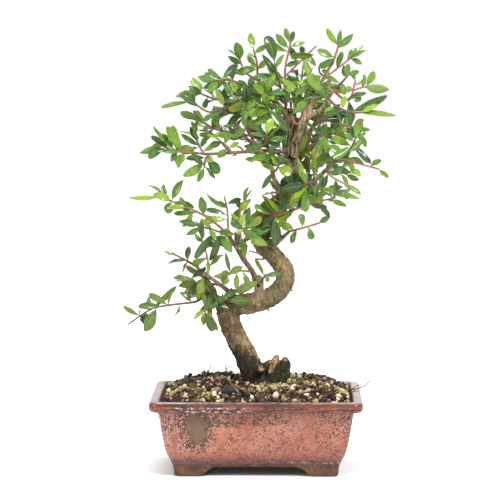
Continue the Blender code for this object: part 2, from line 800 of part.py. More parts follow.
def make_screen(name, centre_x, look):
    """A square plate with nine square meshes over a drain hole."""
    low = FLOOR_TOP + GAP
    screen = add_object(name, *box((centre_x - 12, -12, low), (centre_x + 12, 12, low + 1.2)), look)
    meshes = []
    for column in (-1, 0, 1):
        for row in (-1, 0, 1):
            x = centre_x + 7 * column
            y = 7 * row
            meshes.append(box((x - 2.4, y - 2.4, low - 1), (x + 2.4, y + 2.4, low + 3)))
    boolean_with(screen, name + "_meshes", meshes, "DIFFERENCE", "EXACT", look)
    return screen


def smooth_route(points, steps):
    """A Catmull-Rom curve through the points, of any number of values each."""
    known = np.array(points, float)
    first = 2 * known[0] - known[1]
    last = 2 * known[-1] - known[-2]
    known = np.vstack([first, known, last])
    route = []
    for k in range(1, len(known) - 2):
        a, b, c, d = known[k - 1 : k + 3]
        for step in range(steps):
            t = step / steps
            route.append(
                0.5 * (2 * b + (c - a) * t + (2 * a - 5 * b + 4 * c - d) * t**2
                       + (3 * b - a - 3 * c + d) * t**3)
            )
    route.append(known[-2])
    return np.array(route)


def thinned(route, keep=2):
    """The route with only the points that its bends need."""
    kept = list(route[:keep])
    waiting = []
    for k in range(keep, len(route) - 1):
        waiting.append(route[k])
        chord = route[k + 1] - kept[-1]
        away = [point - kept[-1] for point in waiting]
        shares = [np.dot(step, chord) / np.dot(chord, chord) for step in away]
        errors = [np.linalg.norm(step - share * chord) for step, share in zip(away, shares)]
        if max(errors) > STRAY:
            kept.append(route[k])
            waiting = []
    kept.append(route[-1])
    return np.array(kept)


def tube(route, radii, sides, relief=0.0):
    """A closed tube along a route, its section carried along without twist."""
    route = np.asarray(route, float)
    tangents = np.gradient(route, axis=0)
    tangents /= np.linalg.norm(tangents, axis=1)[:, None]
    helper = np.array([0.0, 0.0, 1.0]) if abs(tangents[0][2]) < 0.8 else np.array([0.0, 1.0, 0.0])
    across = np.cross(tangents[0], helper)
    loops = []
    for k, (centre, along) in enumerate(zip(route, tangents)):
        across = across - along * np.dot(across, along)
        across /= np.linalg.norm(across)
        up = np.cross(along, across)
        loop = []
        for side in range(sides):
            turn = 2 * math.pi * side / sides
            bump = math.sin(3 * turn + 0.9 * k) + math.sin(5 * turn - 1.7 * k + 1.0)
            radius = radii[k] * (1 + relief * bump)
            loop.append(centre + radius * (math.cos(turn) * across + math.sin(turn) * up))
        loops.append(loop)
    return loft(loops)


def wood_tube(name, extra=0.0):
    """One branch of the wood as a tube. A thick branch has more sides and some relief."""
    points = WOOD[name]
    thick = points[0][3]
    if name == "trunk":
        sides, relief = 10, 0.035
    elif thick > 4.5:
        sides, relief = 7, 0.03
    else:
        sides, relief = 5, 0.0
    route = thinned(smooth_route(points, 2), 1)
    return tube(route[:, :3], route[:, 3] + extra, sides, relief)


def root_base():
    """The flare at the foot of the trunk, with upright walls where it stands in the soil."""
    rings = [
        (HOLE_FLOOR + GAP, 0.80, HOLE_X, HOLE_Y), (HOLE_FLOOR + 4, 0.97, HOLE_X, HOLE_Y),
        (50.0, 1.0, HOLE_X, HOLE_Y), (81.0, 1.0, HOLE_X, HOLE_Y), (84.5, 0.94, HOLE_X - 0.5, HOLE_Y),
        (89.0, 0.76, HOLE_X - 4.0, HOLE_Y), (95.0, 0.46, HOLE_X - 11.0, HOLE_Y - 1),
    ]
    loops = []
    for z, scale, x, y in rings:
        loop = []
        for k in range(20):
            turn = 2 * math.pi * k / 20
            ripple = 1 + (0.035 * math.sin(5 * turn + z) if z > 82 else 0.0)
            half_x = (HOLE_HALF_X - GAP) * scale * ripple
            half_y = (HOLE_HALF_Y - GAP) * scale * ripple
            loop.append((x + half_x * math.cos(turn), y + half_y * math.sin(turn), z))
        loops.append(loop)
    return loft(loops)


def make_trunk(look):
    trunk = add_object("trunk", *wood_tube("trunk"), look)
    branches = [root_base()] + [wood_tube(name) for name in WOOD if name != "trunk"]
    boolean_with(trunk, "branches", branches, "UNION", "EXACT", look)
    return trunk


def tree_of(bodies):
    """One search tree over several bodies, for finding crossings."""
    points = []
    faces = []
    for body_points, body_faces in bodies:
        start = len(points)
        points.extend(tuple(point) for point in body_points)
        faces.extend(tuple(start + index for index in face) for face in body_faces)
    return BVHTree.FromPolygons(points, faces) if faces else None


def crosses(tree, body):
    return tree is not None and bool(tree.overlap(tree_of([body])))


def unit(vector):
    return vector / np.linalg.norm(vector)


def leaf_body(leaf, start=0.0, extra=0.0):
    """A blade with a keel: a narrow stalk, two or three full sections and a point."""
    along = leaf["tip"] - leaf["base"]
    length = np.linalg.norm(along)
    along = along / length
    side = unit(np.cross(leaf["facing"], along))
    normal = np.cross(along, side)
    half = 0.5 * leaf["width"] + extra
    if length < SHORT_LEAF:
        sections = [(0.0, 0.0), (0.3, 0.85), (0.68, 0.92)]
    else:
        sections = [(0.0, 0.0), (0.2, 0.55), (0.48, 1.0), (0.8, 0.78)]
    loops = []
    for share, wide in sections:
        share = max(share, start)
        bow = 4 * share * (1 - share) * length
        centre = leaf["base"] + along * length * share + bow * leaf["arch"] * normal
        centre = centre + bow * leaf["sickle"] * side
        reach = max(half * wide, 0.42 + extra)
        rise = reach * leaf["fold"]
        keel = (KEEL if wide else 0.62) + extra
        loops.append([
            centre - reach * side + rise * normal,
            centre - keel * normal,
            centre + reach * side + rise * normal,
        ])
    points = [point for loop in loops for point in loop]
    points.append(leaf["tip"] + along * extra)
    faces = [(0, 2, 1)]
    for ring in range(len(loops) - 1):
        for k in range(3):
            low = 3 * ring
            after = (k + 1) % 3
            faces.append((low + k, low + after, low + 3 + after))
            faces.append((low + k, low + 3 + after, low + 3 + k))
    last = 3 * (len(loops) - 1)
    for k in range(3):
        faces.append((last + k, last + (k + 1) % 3, len(points) - 1))
    return points, faces


def twig_radii(count, side_twig):
    root = 1.0 if side_twig else TWIG_ROOT
    return np.linspace(root, TWIG_TIP, count)


def twig_test_body(route, side_twig):
    """The twig grown by the clearance, without the stretch inside the wood."""
    start = 0 if side_twig else 3
    radii = twig_radii(len(route), side_twig) + CLEAR
    return tube(route[start:], radii[start:], 5)


def free_twigs(routes):
    """The twigs of one spray as tubes, without the stretch inside the wood."""
    bodies = []
    for number, route in enumerate(routes):
        start = 0 if number else 2
        bodies.append(tube(route[start:], twig_radii(len(route), False)[start:], 5))
    return bodies


def place_twigs(wood):
    """Smooth routes for all twigs, bent nearer or farther where one would cross another node."""
    placed = []
    taken = []
    for spray in SPRAYS.values():
        routes = []
        for number, points in enumerate(spray["twigs"]):
            route = smooth_route(points, 4)
            if number:
                main = routes[0]
                nearest = np.argmin(np.linalg.norm(main - route[0], axis=1))
                shift = main[nearest] - route[0]
                route = route + shift * np.linspace(1, 0, len(route))[:, None]
            share = np.linspace(0, 1, len(route))[:, None] ** 0.7
            others = tree_of(wood + taken)
            for step in range(17):
                push = 2.2 * ((step + 1) // 2) * (1 if step % 2 else -1)
                bent = route + share * np.array([0.0, push, 0.0])
                if not crosses(others, twig_test_body(bent, number > 0)):
                    break
            routes.append(bent)
        taken.extend(free_twigs(routes))
        placed.append(routes)
    return placed


def seen_leaf(rng, routes, shape, jitter):
    """A leaf between two places seen from the front, its depth drawn at random."""
    base_x, base_z, tip_x, tip_z, width = shape
    every = np.vstack([route[2:] for route in routes])
    seen = np.hypot(every[:, 0] - base_x, every[:, 2] - base_z)
    order = np.argsort(seen)
    base = every[order[min(int(jitter * 4 * rng.random()), len(order) - 1)]]
    flat = np.array([tip_x - base[0], 0.0, tip_z - base[2]])
    reach = np.linalg.norm(flat)
    depth = reach * rng.uniform(-0.35 - 0.4 * jitter, 0.35 + 0.4 * jitter)
    swing = 0.25 * jitter * reach * rng.normal(size=3)
    tip = base + flat * (1 - 0.3 * jitter * rng.random()) + np.array([0.0, depth, 0.0]) + swing
    facing = unit(np.array([0.0, -1.0, 0.35]) + (0.3 + 0.5 * jitter) * rng.normal(size=3))
    return {"base": base, "tip": tip, "facing": facing, "width": width}


def rule_leaf(rng, routes, pair, pairs, hand, jitter):
    """A leaf of an opposite pair, at about 50 degrees from the twig, each pair turned from the last."""
    route = routes[pair % len(routes)]
    share = 0.42 + 0.56 * (pair + 1) / pairs
    place = min(share + 0.16 * jitter * rng.normal(), 0.98)
    index = int(np.clip(place * (len(route) - 1), 2, len(route) - 2))
    base = route[index]
    forward = unit(route[index + 1] - route[index - 1])
    across = unit(np.cross(forward, [0.2, 0.3, 1.0]))
    up = np.cross(forward, across)
    turn = math.radians(90 * pair + 35) + 0.5 * rng.normal() + 2.2 * jitter * rng.normal()
    out = hand * (math.cos(turn) * across + math.sin(turn) * up)
    lean = math.radians(rng.uniform(38, 62) if pair < pairs - 1 else rng.uniform(15, 40))
    length = rng.uniform(14, 25) * (1 - 0.35 * jitter)
    heading = unit(math.cos(lean) * forward + math.sin(lean) * out + np.array([0.0, 0.0, 0.1]))
    facing = unit(np.array([0.0, -0.4, 0.7]) + 0.5 * rng.normal(size=3))
    width = length * rng.uniform(0.3, 0.4)
    return {"base": base, "tip": base + heading * length, "facing": facing, "width": width}


def grow_leaves(wood, twigs):
    """All leaves of all sprays. A draw that would cross another node is drawn again, up to a limit."""
    sprays = []
    twig_bodies = [free_twigs(routes) for routes in twigs]
    for index, spray in enumerate(SPRAYS.values()):
        rng = np.random.default_rng(400 + index)
        routes = twigs[index]
        fixed = list(wood)
        for other, bodies in enumerate(twig_bodies):
            if other != index:
                fixed.extend(bodies)
        fixed.extend(leaf_body(leaf) for leaves in sprays for leaf in leaves)
        others = tree_of(fixed)
        own = list(twig_bodies[index])
        wanted = [("seen", shape) for shape in spray["leaves"]]
        wanted += [("rule", (pair, hand)) for pair in range(spray["more"]) for hand in (1, -1)]
        leaves = []
        for kind, what in wanted:
            own_tree = tree_of(own)
            for attempt in range(DRAWS):
                jitter = attempt / DRAWS
                if kind == "seen":
                    leaf = seen_leaf(rng, routes, what, jitter)
                else:
                    leaf = rule_leaf(rng, routes, what[0], spray["more"], what[1], jitter)
                leaf["arch"] = rng.uniform(0.0, 0.09)
                leaf["sickle"] = rng.uniform(-0.05, 0.05)
                leaf["fold"] = rng.uniform(0.1, 0.35)
                if abs(np.dot(unit(leaf["tip"] - leaf["base"]), leaf["facing"])) > 0.9:
                    continue
                if abs(leaf["tip"][1]) > POT_HALF_Y - 2:
                    continue
                if crosses(others, leaf_body(leaf, 0.0, CLEAR)):
                    continue
                if crosses(own_tree, leaf_body(leaf, 0.25, 0.1)):
                    continue
                leaves.append(leaf)
                own.append(leaf_body(leaf, 0.25))
                break
        sprays.append(leaves)
    return sprays


def clearance(root, normal, wood_tree):
    """The smallest distance from the twig's first ring to the bark, in millimetres."""
    across = unit(np.cross(normal, [0.31, 0.52, 0.79]))
    up = np.cross(normal, across)
    turns = [math.radians(45 * step) for step in range(8)]
    ring = [root + TWIG_ROOT * (math.cos(turn) * across + math.sin(turn) * up) for turn in turns]
    return min(wood_tree.find_nearest(Vector(point * MM))[3] for point in ring) / MM


def leave_the_bark(route, wood_tree):
    """The packed twig's route: it starts just off the bark, square to it, and joins the route."""
    towards = route[4]
    inward = unit(route[0] - towards)
    hit, normal, _, _ = wood_tree.ray_cast(Vector(towards * MM), Vector(inward))
    hit = np.array(hit) / MM
    normal = np.array(normal)
    root = hit + normal * ROOT_GAP
    while clearance(root, normal, wood_tree) < GAP:
        root = root + normal * 0.1
    away = [point for point in route[3:] if np.linalg.norm(point - hit) > 4.5]
    return np.vstack([root, root + normal * 1.6, away])


def make_spray(name, routes, leaves, wood_tree, look):
    main = thinned(leave_the_bark(routes[0], wood_tree))
    radii = twig_radii(len(main), False)
    spray = add_object(name, *tube(main, radii, TWIG_SIDES), look)
    pieces = []
    for route in routes[1:]:
        short = thinned(route)
        pieces.append(tube(short, twig_radii(len(short), True), TWIG_SIDES))
    pieces.extend(leaf_body(leaf) for leaf in leaves)
    boolean_with(spray, name + "_leaves", pieces, "UNION", "MANIFOLD", look)
    return spray


def build():
    clear_scene()
    glaze = material("red_glaze", (0.23, 0.06, 0.045), 0.25)
    grain = material("soil_grains", (0.09, 0.06, 0.04), 0.95)
    plastic = material("screen_plastic", (0.03, 0.03, 0.03), 0.5)
    bark = material("bark", (0.28, 0.21, 0.13), 0.85)
    green = material("leaf_green", (0.06, 0.16, 0.025), 0.35)
    make_pot(glaze)
    make_soil(grain)
    make_screen("drain_screen_left", -DRAIN_X, plastic)
    make_screen("drain_screen_right", DRAIN_X, plastic)
    trunk = make_trunk(bark)
    wood_tree = BVHTree.FromObject(trunk, bpy.context.evaluated_depsgraph_get())
    wood = [wood_tube(name, CLEAR) for name in WOOD] + [root_base()]
    twigs = place_twigs(wood)
    grown = grow_leaves(wood, twigs)
    for name, routes, leaves in zip(SPRAYS, twigs, grown):
        make_spray(name, routes, leaves, wood_tree, green)
    print("sprays", len(grown), "leaves", sum(len(leaves) for leaves in grown))


build()
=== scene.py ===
# %% [markdown]
# # Pomegranate bonsai in a glazed tray pot
# A small pomegranate tree grows in a red glazed tray on four cloud feet. The packed model already
# has every solid in place. This lesson dresses it: it loads that model as a fixed frame, and puts
# finer surfaces and procedural finishes where its plain solids are.

# %% Load the packed frame
import json
import math

import bpy
import numpy as np
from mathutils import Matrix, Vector
from mathutils.bvhtree import BVHTree

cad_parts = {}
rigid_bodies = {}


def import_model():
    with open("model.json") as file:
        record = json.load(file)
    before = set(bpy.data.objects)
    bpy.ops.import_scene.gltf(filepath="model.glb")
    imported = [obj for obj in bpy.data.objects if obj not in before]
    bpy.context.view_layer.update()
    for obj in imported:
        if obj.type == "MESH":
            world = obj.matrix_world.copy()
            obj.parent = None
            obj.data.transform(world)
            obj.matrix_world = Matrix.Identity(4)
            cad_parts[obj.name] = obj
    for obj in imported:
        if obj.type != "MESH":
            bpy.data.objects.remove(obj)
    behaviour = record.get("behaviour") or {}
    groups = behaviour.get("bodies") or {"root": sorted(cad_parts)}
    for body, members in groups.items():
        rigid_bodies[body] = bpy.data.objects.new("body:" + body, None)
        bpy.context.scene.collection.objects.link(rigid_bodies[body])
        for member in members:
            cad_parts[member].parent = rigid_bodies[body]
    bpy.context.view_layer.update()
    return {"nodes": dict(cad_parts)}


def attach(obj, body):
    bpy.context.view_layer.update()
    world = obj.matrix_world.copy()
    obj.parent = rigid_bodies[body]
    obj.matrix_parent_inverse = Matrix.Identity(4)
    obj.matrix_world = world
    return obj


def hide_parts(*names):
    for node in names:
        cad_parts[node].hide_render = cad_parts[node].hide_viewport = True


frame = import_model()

MM = 0.001
print("packed nodes:", len(frame["nodes"]))

# %% [markdown]
# ## Camera
# The photograph was taken from a long way off with a long lens, a little above the rim of the pot.
# Its place was fitted to the four corners of the pot's rim and to the feet, so the tree falls on
# the same pixels as in the photograph.

# %% Camera
CAMERA_PLACE = (0.0319, -2.2608, 0.4131)
CAMERA_DOWN, CAMERA_TURN = 0.0901, 0.0170
lens = bpy.data.cameras.new("studio_camera")
lens.lens = 171.64
lens.sensor_width = 36.0
camera = bpy.data.objects.new("studio_camera", lens)
camera.location = CAMERA_PLACE
camera.rotation_euler = (math.pi / 2 - CAMERA_DOWN, 0.0, CAMERA_TURN)
bpy.context.scene.collection.objects.link(camera)
bpy.context.scene.camera = camera
print("camera", round(camera.location.length, 3), "m from the origin")

# %% [markdown]
# ## Shader expressions
# A finish is a chain of nodes. Written node by node it is long and hard to read, so a small class
# wraps one output socket, and its operators add Math nodes. Then `1 - mask` or `noise * 0.4` reads
# like the sum that it is. Colours go through Mix nodes, because a Math node turns a colour grey.

# %% Socket
def math_node(operation, swapped=False):
    """A method of a socket that adds a Math node. Swapped is for a socket on the right side."""

    def method(self, *others):
        values = (*others, self) if swapped else (self, *others)
        return self.finish.node("Math", dict(enumerate(values)), operation=operation)

    return method


class Socket:
    """One output of a node. An operator on it adds a Math node and gives that node's output."""

    __add__ = __radd__ = math_node("ADD")
    __sub__ = math_node("SUBTRACT")
    __rsub__ = math_node("SUBTRACT", swapped=True)
    __mul__ = __rmul__ = math_node("MULTIPLY")
    __pow__ = math_node("POWER")
    top = math_node("MAXIMUM")
    low = math_node("MINIMUM")
    wave = math_node("SINE")
    size = math_node("ABSOLUTE")

    def __init__(self, finish, output):
        self.finish = finish
        self.output = output

    def step(self, start, end):
        """0 up to start and 1 from end on, with a smooth rise between. It falls if start > end."""
        if start > end:
            return 1 - self.step(end, start)
        values = {"Value": self, "From Min": start, "From Max": end}
        return self.finish.node("MapRange", values, interpolation_type="SMOOTHSTEP")

    def band(self, start, full, fade, end):
        """1 from full to fade, and 0 up to start and from end on."""
        return self.step(start, full) * self.step(end, fade)


print("socket calls:", [name for name in vars(Socket) if callable(getattr(Socket, name))])

# %% Finish
def set_stops(elements, stops):
    """Give a ramp its stops, each a position and its colour."""
    while len(elements) < len(stops):
        elements.new(0.5)
    for element, (position, colour) in zip(elements, stops):
        element.position = position
        element.color = (*colour, 1.0)


class Finish:
    """A material, and the calls that add nodes to it."""

    def __init__(self, name, **constants):
        self.material = bpy.data.materials.new(name)
        self.material.use_nodes = True
        self.tree = self.material.node_tree
        self.shader = self.tree.nodes["Principled BSDF"]
        for socket, value in constants.items():
            self.shader.inputs[socket.replace("_", " ")].default_value = value
        self.place = self.node("TexCoord", {}, "Object")

    def fill(self, socket, value):
        """Give an input a link, a colour or a number."""
        if isinstance(value, Socket):
            self.tree.links.new(value.output, socket)
        elif isinstance(value, tuple) and len(value) == 3 and len(socket.default_value) == 4:
            socket.default_value = (*value, 1.0)
        else:
            socket.default_value = value

    def node(self, kind, inputs, output=0, **settings):
        """Any node: its settings first, such as a ramp's stops, then its inputs."""
        made = self.tree.nodes.new("ShaderNode" + kind)
        for key, value in settings.items():
            if key == "stops":
                set_stops(made.color_ramp.elements, value)
            else:
                setattr(made, key, value)
        for key, value in inputs.items():
            self.fill(made.inputs[key], value)
        return Socket(self, made.outputs[output])

    def mix(self, mask, one, two):
        """Colour one where the mask is 0 and colour two where it is 1."""
        return self.node("Mix", {0: mask, 6: one, 7: two}, 2, data_type="RGBA")

    def layers(self, colour, *coats):
        """Coats over a colour. Each is a mask and the colour that covers where the mask is 1."""
        for mask, coat in coats:
            colour = self.mix(mask, colour, coat)
        return colour

    def ramp(self, value, *stops):
        """Colours along a value. Each stop is a position and its colour."""
        return self.node("ValToRGB", {0: value}, stops=stops)

    def noise(self, grain, detail=2.0, rough=0.5, bend=0.0, place=None, output=0):
        """Cloudy noise, 0 to 1, with blobs about grain millimetres wide."""
        values = {"Vector": place or self.place, "Scale": 1 / (grain * MM), "Detail": detail,
                  "Roughness": rough, "Distortion": bend}
        return self.node("TexNoise", values, output)

    def moved(self, amount, grain):
        """The place pushed about by noise, so that a pattern on it loses its straight lines."""
        push = self.noise(grain, output="Color")
        push = self.node("VectorMath", {0: push, 1: (0.5, 0.5, 0.5)}, operation="SUBTRACT")
        push = self.node("VectorMath", {0: push, "Scale": amount * MM}, operation="SCALE")
        return self.node("VectorMath", {0: self.place, 1: push}, operation="ADD")

    def stretched(self, x, y, z):
        """The place times x, y and z. A pattern on it is long along an axis with a small number."""
        return self.node("Mapping", {"Vector": self.place, "Scale": (x, y, z)})

    def axis(self, name):
        """One coordinate of the place, in millimetres."""
        return self.node("SeparateXYZ", {0: self.place}, name) * 1000

    def given(self, name):
        """A value that the mesh carries at its points."""
        return self.node("Attribute", {}, "Fac", attribute_name=name)

    def chart(self):
        """The mesh's own UV map, as two values."""
        both = self.node("TexCoord", {}, "UV")
        return [self.node("SeparateXYZ", {0: both}, name) for name in "XY"]

    def bump(self, height, depth):
        """Normals as if the surface rose by depth millimetres where height is 1."""
        return self.node("Bump", {"Height": height, "Distance": depth * MM, "Strength": 1.0})

    def show(self, **channels):
        """Give the shader's inputs their values or links, with _ for a space in their names."""
        for socket, value in channels.items():
            self.fill(self.shader.inputs[socket.replace("_", " ")], value)
        return self.material


print("finish calls:", [name for name in vars(Finish) if not name.startswith("__")])

# %% [markdown]
# ## Closed shells from grids
# Nearly every piece here is a ring of points carried along a path: a twig, a leaf, the wall of the
# pot. The points are one array of rows and columns, worked out at once. The faces are four-sided:
# walls join neighbouring rows, and strips across the first and the last ring close the ends.

# %% Shell faces and the mesh that gathers them
def shell_faces(rows, columns):
    """Walls between rows and strips over both ends. Faces point outwards where the columns run
    anticlockwise about the way from the first row to the last."""
    row, column = np.meshgrid(np.arange(rows - 1), np.arange(columns), indexing="ij")
    after = (column + 1) % columns
    walls = np.stack([row * columns + column, row * columns + after,
                      (row + 1) * columns + after, (row + 1) * columns + column], axis=-1)
    step = np.arange(columns // 2 - 1)
    strips = np.stack([step, step + 1, columns - 2 - step, columns - 1 - step], axis=-1)
    return np.vstack([walls.reshape(-1, 4), strips[:, ::-1], strips + (rows - 1) * columns])


def shell_piece(name, finishes, shells, replaced):
    """One object from shells in millimetres. A shell is points (rows, columns, 3), the number of
    its finish, its chart (rows, columns, 2) or None, and the values its points carry, each one
    number or an array that fits the rows and columns."""
    points, faces, looks, charts = [], [], [], []
    values = {key: [] for key in shells[0][3]}
    start = 0
    for grid, look, chart, carried in shells:
        rows, columns = grid.shape[:2]
        made = shell_faces(rows, columns)
        points.append(grid.reshape(-1, 3))
        faces.append(made + start)
        looks.append(np.full(len(made), look))
        charts.append(np.zeros((rows * columns, 2)) if chart is None else chart.reshape(-1, 2))
        for key in values:
            values[key].append(np.broadcast_to(carried[key], (rows, columns)).ravel())
        start += rows * columns
    return mesh_piece(name, finishes, np.vstack(points), np.vstack(faces), replaced,
                      looks=np.concatenate(looks), chart=np.vstack(charts),
                      values={key: np.concatenate(parts) for key, parts in values.items()})


def mesh_piece(name, finishes, points, faces, replaced, smooth=True, looks=None, chart=None,
               values=None):
    """An object at the origin from arrays of points in millimetres and of faces. It rides on the
    one body, stands for the replaced solids and takes its finish from the slot."""
    corners = faces.shape[1]
    mesh = bpy.data.meshes.new(name)
    mesh.vertices.add(len(points))
    mesh.vertices.foreach_set("co", (points * MM).astype(np.float32).ravel())
    mesh.loops.add(faces.size)
    mesh.loops.foreach_set("vertex_index", faces.astype(np.int32).ravel())
    mesh.polygons.add(len(faces))
    mesh.polygons.foreach_set("loop_start", np.arange(0, faces.size, corners, dtype=np.int32))
    mesh.polygons.foreach_set("loop_total", np.full(len(faces), corners, np.int32))
    if looks is not None:
        mesh.polygons.foreach_set("material_index", looks.astype(np.int32))
    if chart is not None:
        uv = mesh.uv_layers.new(name="chart")
        uv.data.foreach_set("uv", chart[faces.ravel()].astype(np.float32).ravel())
    for key, carried in (values or {}).items():
        layer = mesh.attributes.new(key, "FLOAT", "POINT")
        layer.data.foreach_set("value", carried.astype(np.float32))
    mesh.update(calc_edges=True)
    mesh.validate()
    mesh.polygons.foreach_set("use_smooth", np.full(len(mesh.polygons), smooth))
    for finish in finishes:
        mesh.materials.append(finish)
    piece = bpy.data.objects.new(name, mesh)
    bpy.context.scene.collection.objects.link(piece)
    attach(piece, "root")
    if replaced:
        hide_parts(*replaced)
    return piece


print("faces of a small shell:", len(shell_faces(4, 8)))

# %% [markdown]
# ## Wood and twigs as routes
# The tree is a set of routes: points along the middle of each branch with its radius, in
# millimetres, the same as in the solid model. A smooth curve goes through the points, and a ring
# is carried along it without twist. Every leafy twig starts inside the wood that it grows from.
# The sprays at the front list leaves that were read off the photograph, and some add pairs of
# leaves. The sprays at the back, which it doesn't show, have pairs only.

# %% Routes of the wood, with the radius at each point
WOOD = {
    "trunk": [(0, 1, 79, 11.2), (-4, -2, 93, 11.5), (-10, -4, 107, 10.7), (-17, -5, 121, 10.3),
        (-24, -4, 136, 10.3), (-27, -2, 149, 10.9), (-19, -1, 156, 10.1), (-7, -2, 158, 9.7),
        (8, -3, 162, 9.5), (20, -2, 169, 9.3), (27, 0, 180, 9), (25, 3, 192, 8.8),
        (16, 6, 203, 8.6), (7, 9, 212, 8.6), (2, 12, 223, 8.2), (5, 14, 236, 8), (15, 13, 249, 7.8),
        (30, 10, 261, 7.8), (40, 6, 272, 7.8), (43, 3, 283, 7.4)],
    "lobe_left": [(13, -3, 70, 9.6), (14, -5, 84, 9.2), (16, -6, 93, 7.6), (18, -7, 101, 5.4),
        (19, -7, 107, 2.8)],
    "lobe_right": [(22, 0, 70, 9.6), (23, -1, 84, 8.6), (25, -2, 94, 6.4), (27, -2, 101, 4.8),
        (27, -2, 104, 3)],
    "leader_left": [(42, 4, 278, 6.9), (34, 3, 292, 6.9), (29, 2, 306, 6.3), (32, 1, 323, 6.5),
        (31, 0, 335, 6.7), (29, 0, 342, 4.8)],
    "leader_stub": [(33, -4, 299, 4.4), (40, -9, 320, 4.6), (45, -11, 337, 4.8), (50, -12, 351, 5),
        (53, -12, 360, 4.4)],
    "leader_right": [(42, 5, 280, 5.2), (48, 9, 295, 3.4), (48, 12, 312, 2.9), (53, 12, 326, 2.6),
        (68, 12, 345, 2)],
    "stem_left": [(22, 9, 254, 3.2), (20, -9, 266, 2.6), (15, -14, 283, 2.4), (11, -16, 296, 2.5),
        (1, -17, 307, 2.3), (-4, -18, 315, 1.9)],
    "arm_left": [(9, -16, 298, 2.2), (-4, -14, 303, 2.1), (-25, -13, 302, 1.9),
        (-46, -14, 301, 1.7), (-57, -14, 302, 1.5)],
    "arm_up_left": [(31, -1, 337, 2.9), (19, -6, 348, 2.4), (9, -10, 355, 2.1), (-3, -13, 357, 1.9),
        (-14, -14, 363, 1.6)],
    "arm_dark": [(28, 1, 339, 2.6), (13, 5, 353, 2.1), (2, 8, 369, 1.6)],
    "arm_top": [(33, 1, 326, 3.2), (48, 4, 338, 2.7), (54, 6, 350, 2.3), (61, 7, 368, 1.9),
        (67, 6, 379, 1.8), (72, 5, 387, 1.6)],
    "arm_right": [(45, -11, 335, 3), (59, -14, 342, 2.2), (69, -18, 356, 1.8), (75, -20, 364, 1.5)],
    "arm_low_right": [(41, 3, 272, 4.2), (53, -15, 275, 2.8), (65, -18, 286, 2.2),
        (79, -20, 299, 1.8), (87, -20, 305, 1.5)],
    "elbow_stub": [(-26, -1, 151, 7), (-39, -6, 162, 5), (-47, -9, 170, 4.2)],
    "knee": [(2, -3, 157, 5.6), (2, -8, 169, 4.6), (2, -9, 182, 4.4)],
    "knee_branch": [(1, -9, 177, 3.4), (-4, -11, 189, 3), (-13, -14, 202, 2.6),
        (-20, -16, 214, 2.2), (-25, -17, 222, 1.7)],
    "knee_fork": [(-12, -13, 200, 2.4), (-14, -12, 213, 2), (-16, -11, 226, 1.6)],
    "low_branch": [(-12, -3, 157, 3.4), (-33, -16, 176, 2.4), (-46, -19, 186, 2.1),
        (-56, -20, 194, 1.8), (-63, -20, 199, 1.5)],
    "spur_right": [(9, 6, 208, 4.2), (19, 0, 216, 2.8), (31, -4, 227, 1.8)],
    "cut_spur": [(2, -17, 306, 2.2), (-10, -12, 316, 2.1), (-19, -6, 329, 1.8)],
    "arm_back_high": [(31, 1, 314, 3.4), (22, 18, 330, 2.6), (8, 36, 344, 1.7)],
    "arm_back_right": [(34, 3, 291, 3.8), (50, 22, 304, 2.7), (66, 40, 314, 1.7)],
    "arm_back_low": [(15, 13, 249, 3.8), (30, 28, 250, 2.7), (46, 42, 254, 1.7)],
    "arm_back_mid": [(40, 5, 273, 3.8), (30, 24, 289, 2.7), (12, 44, 306, 1.7)],
}
print("branches:", len(WOOD))

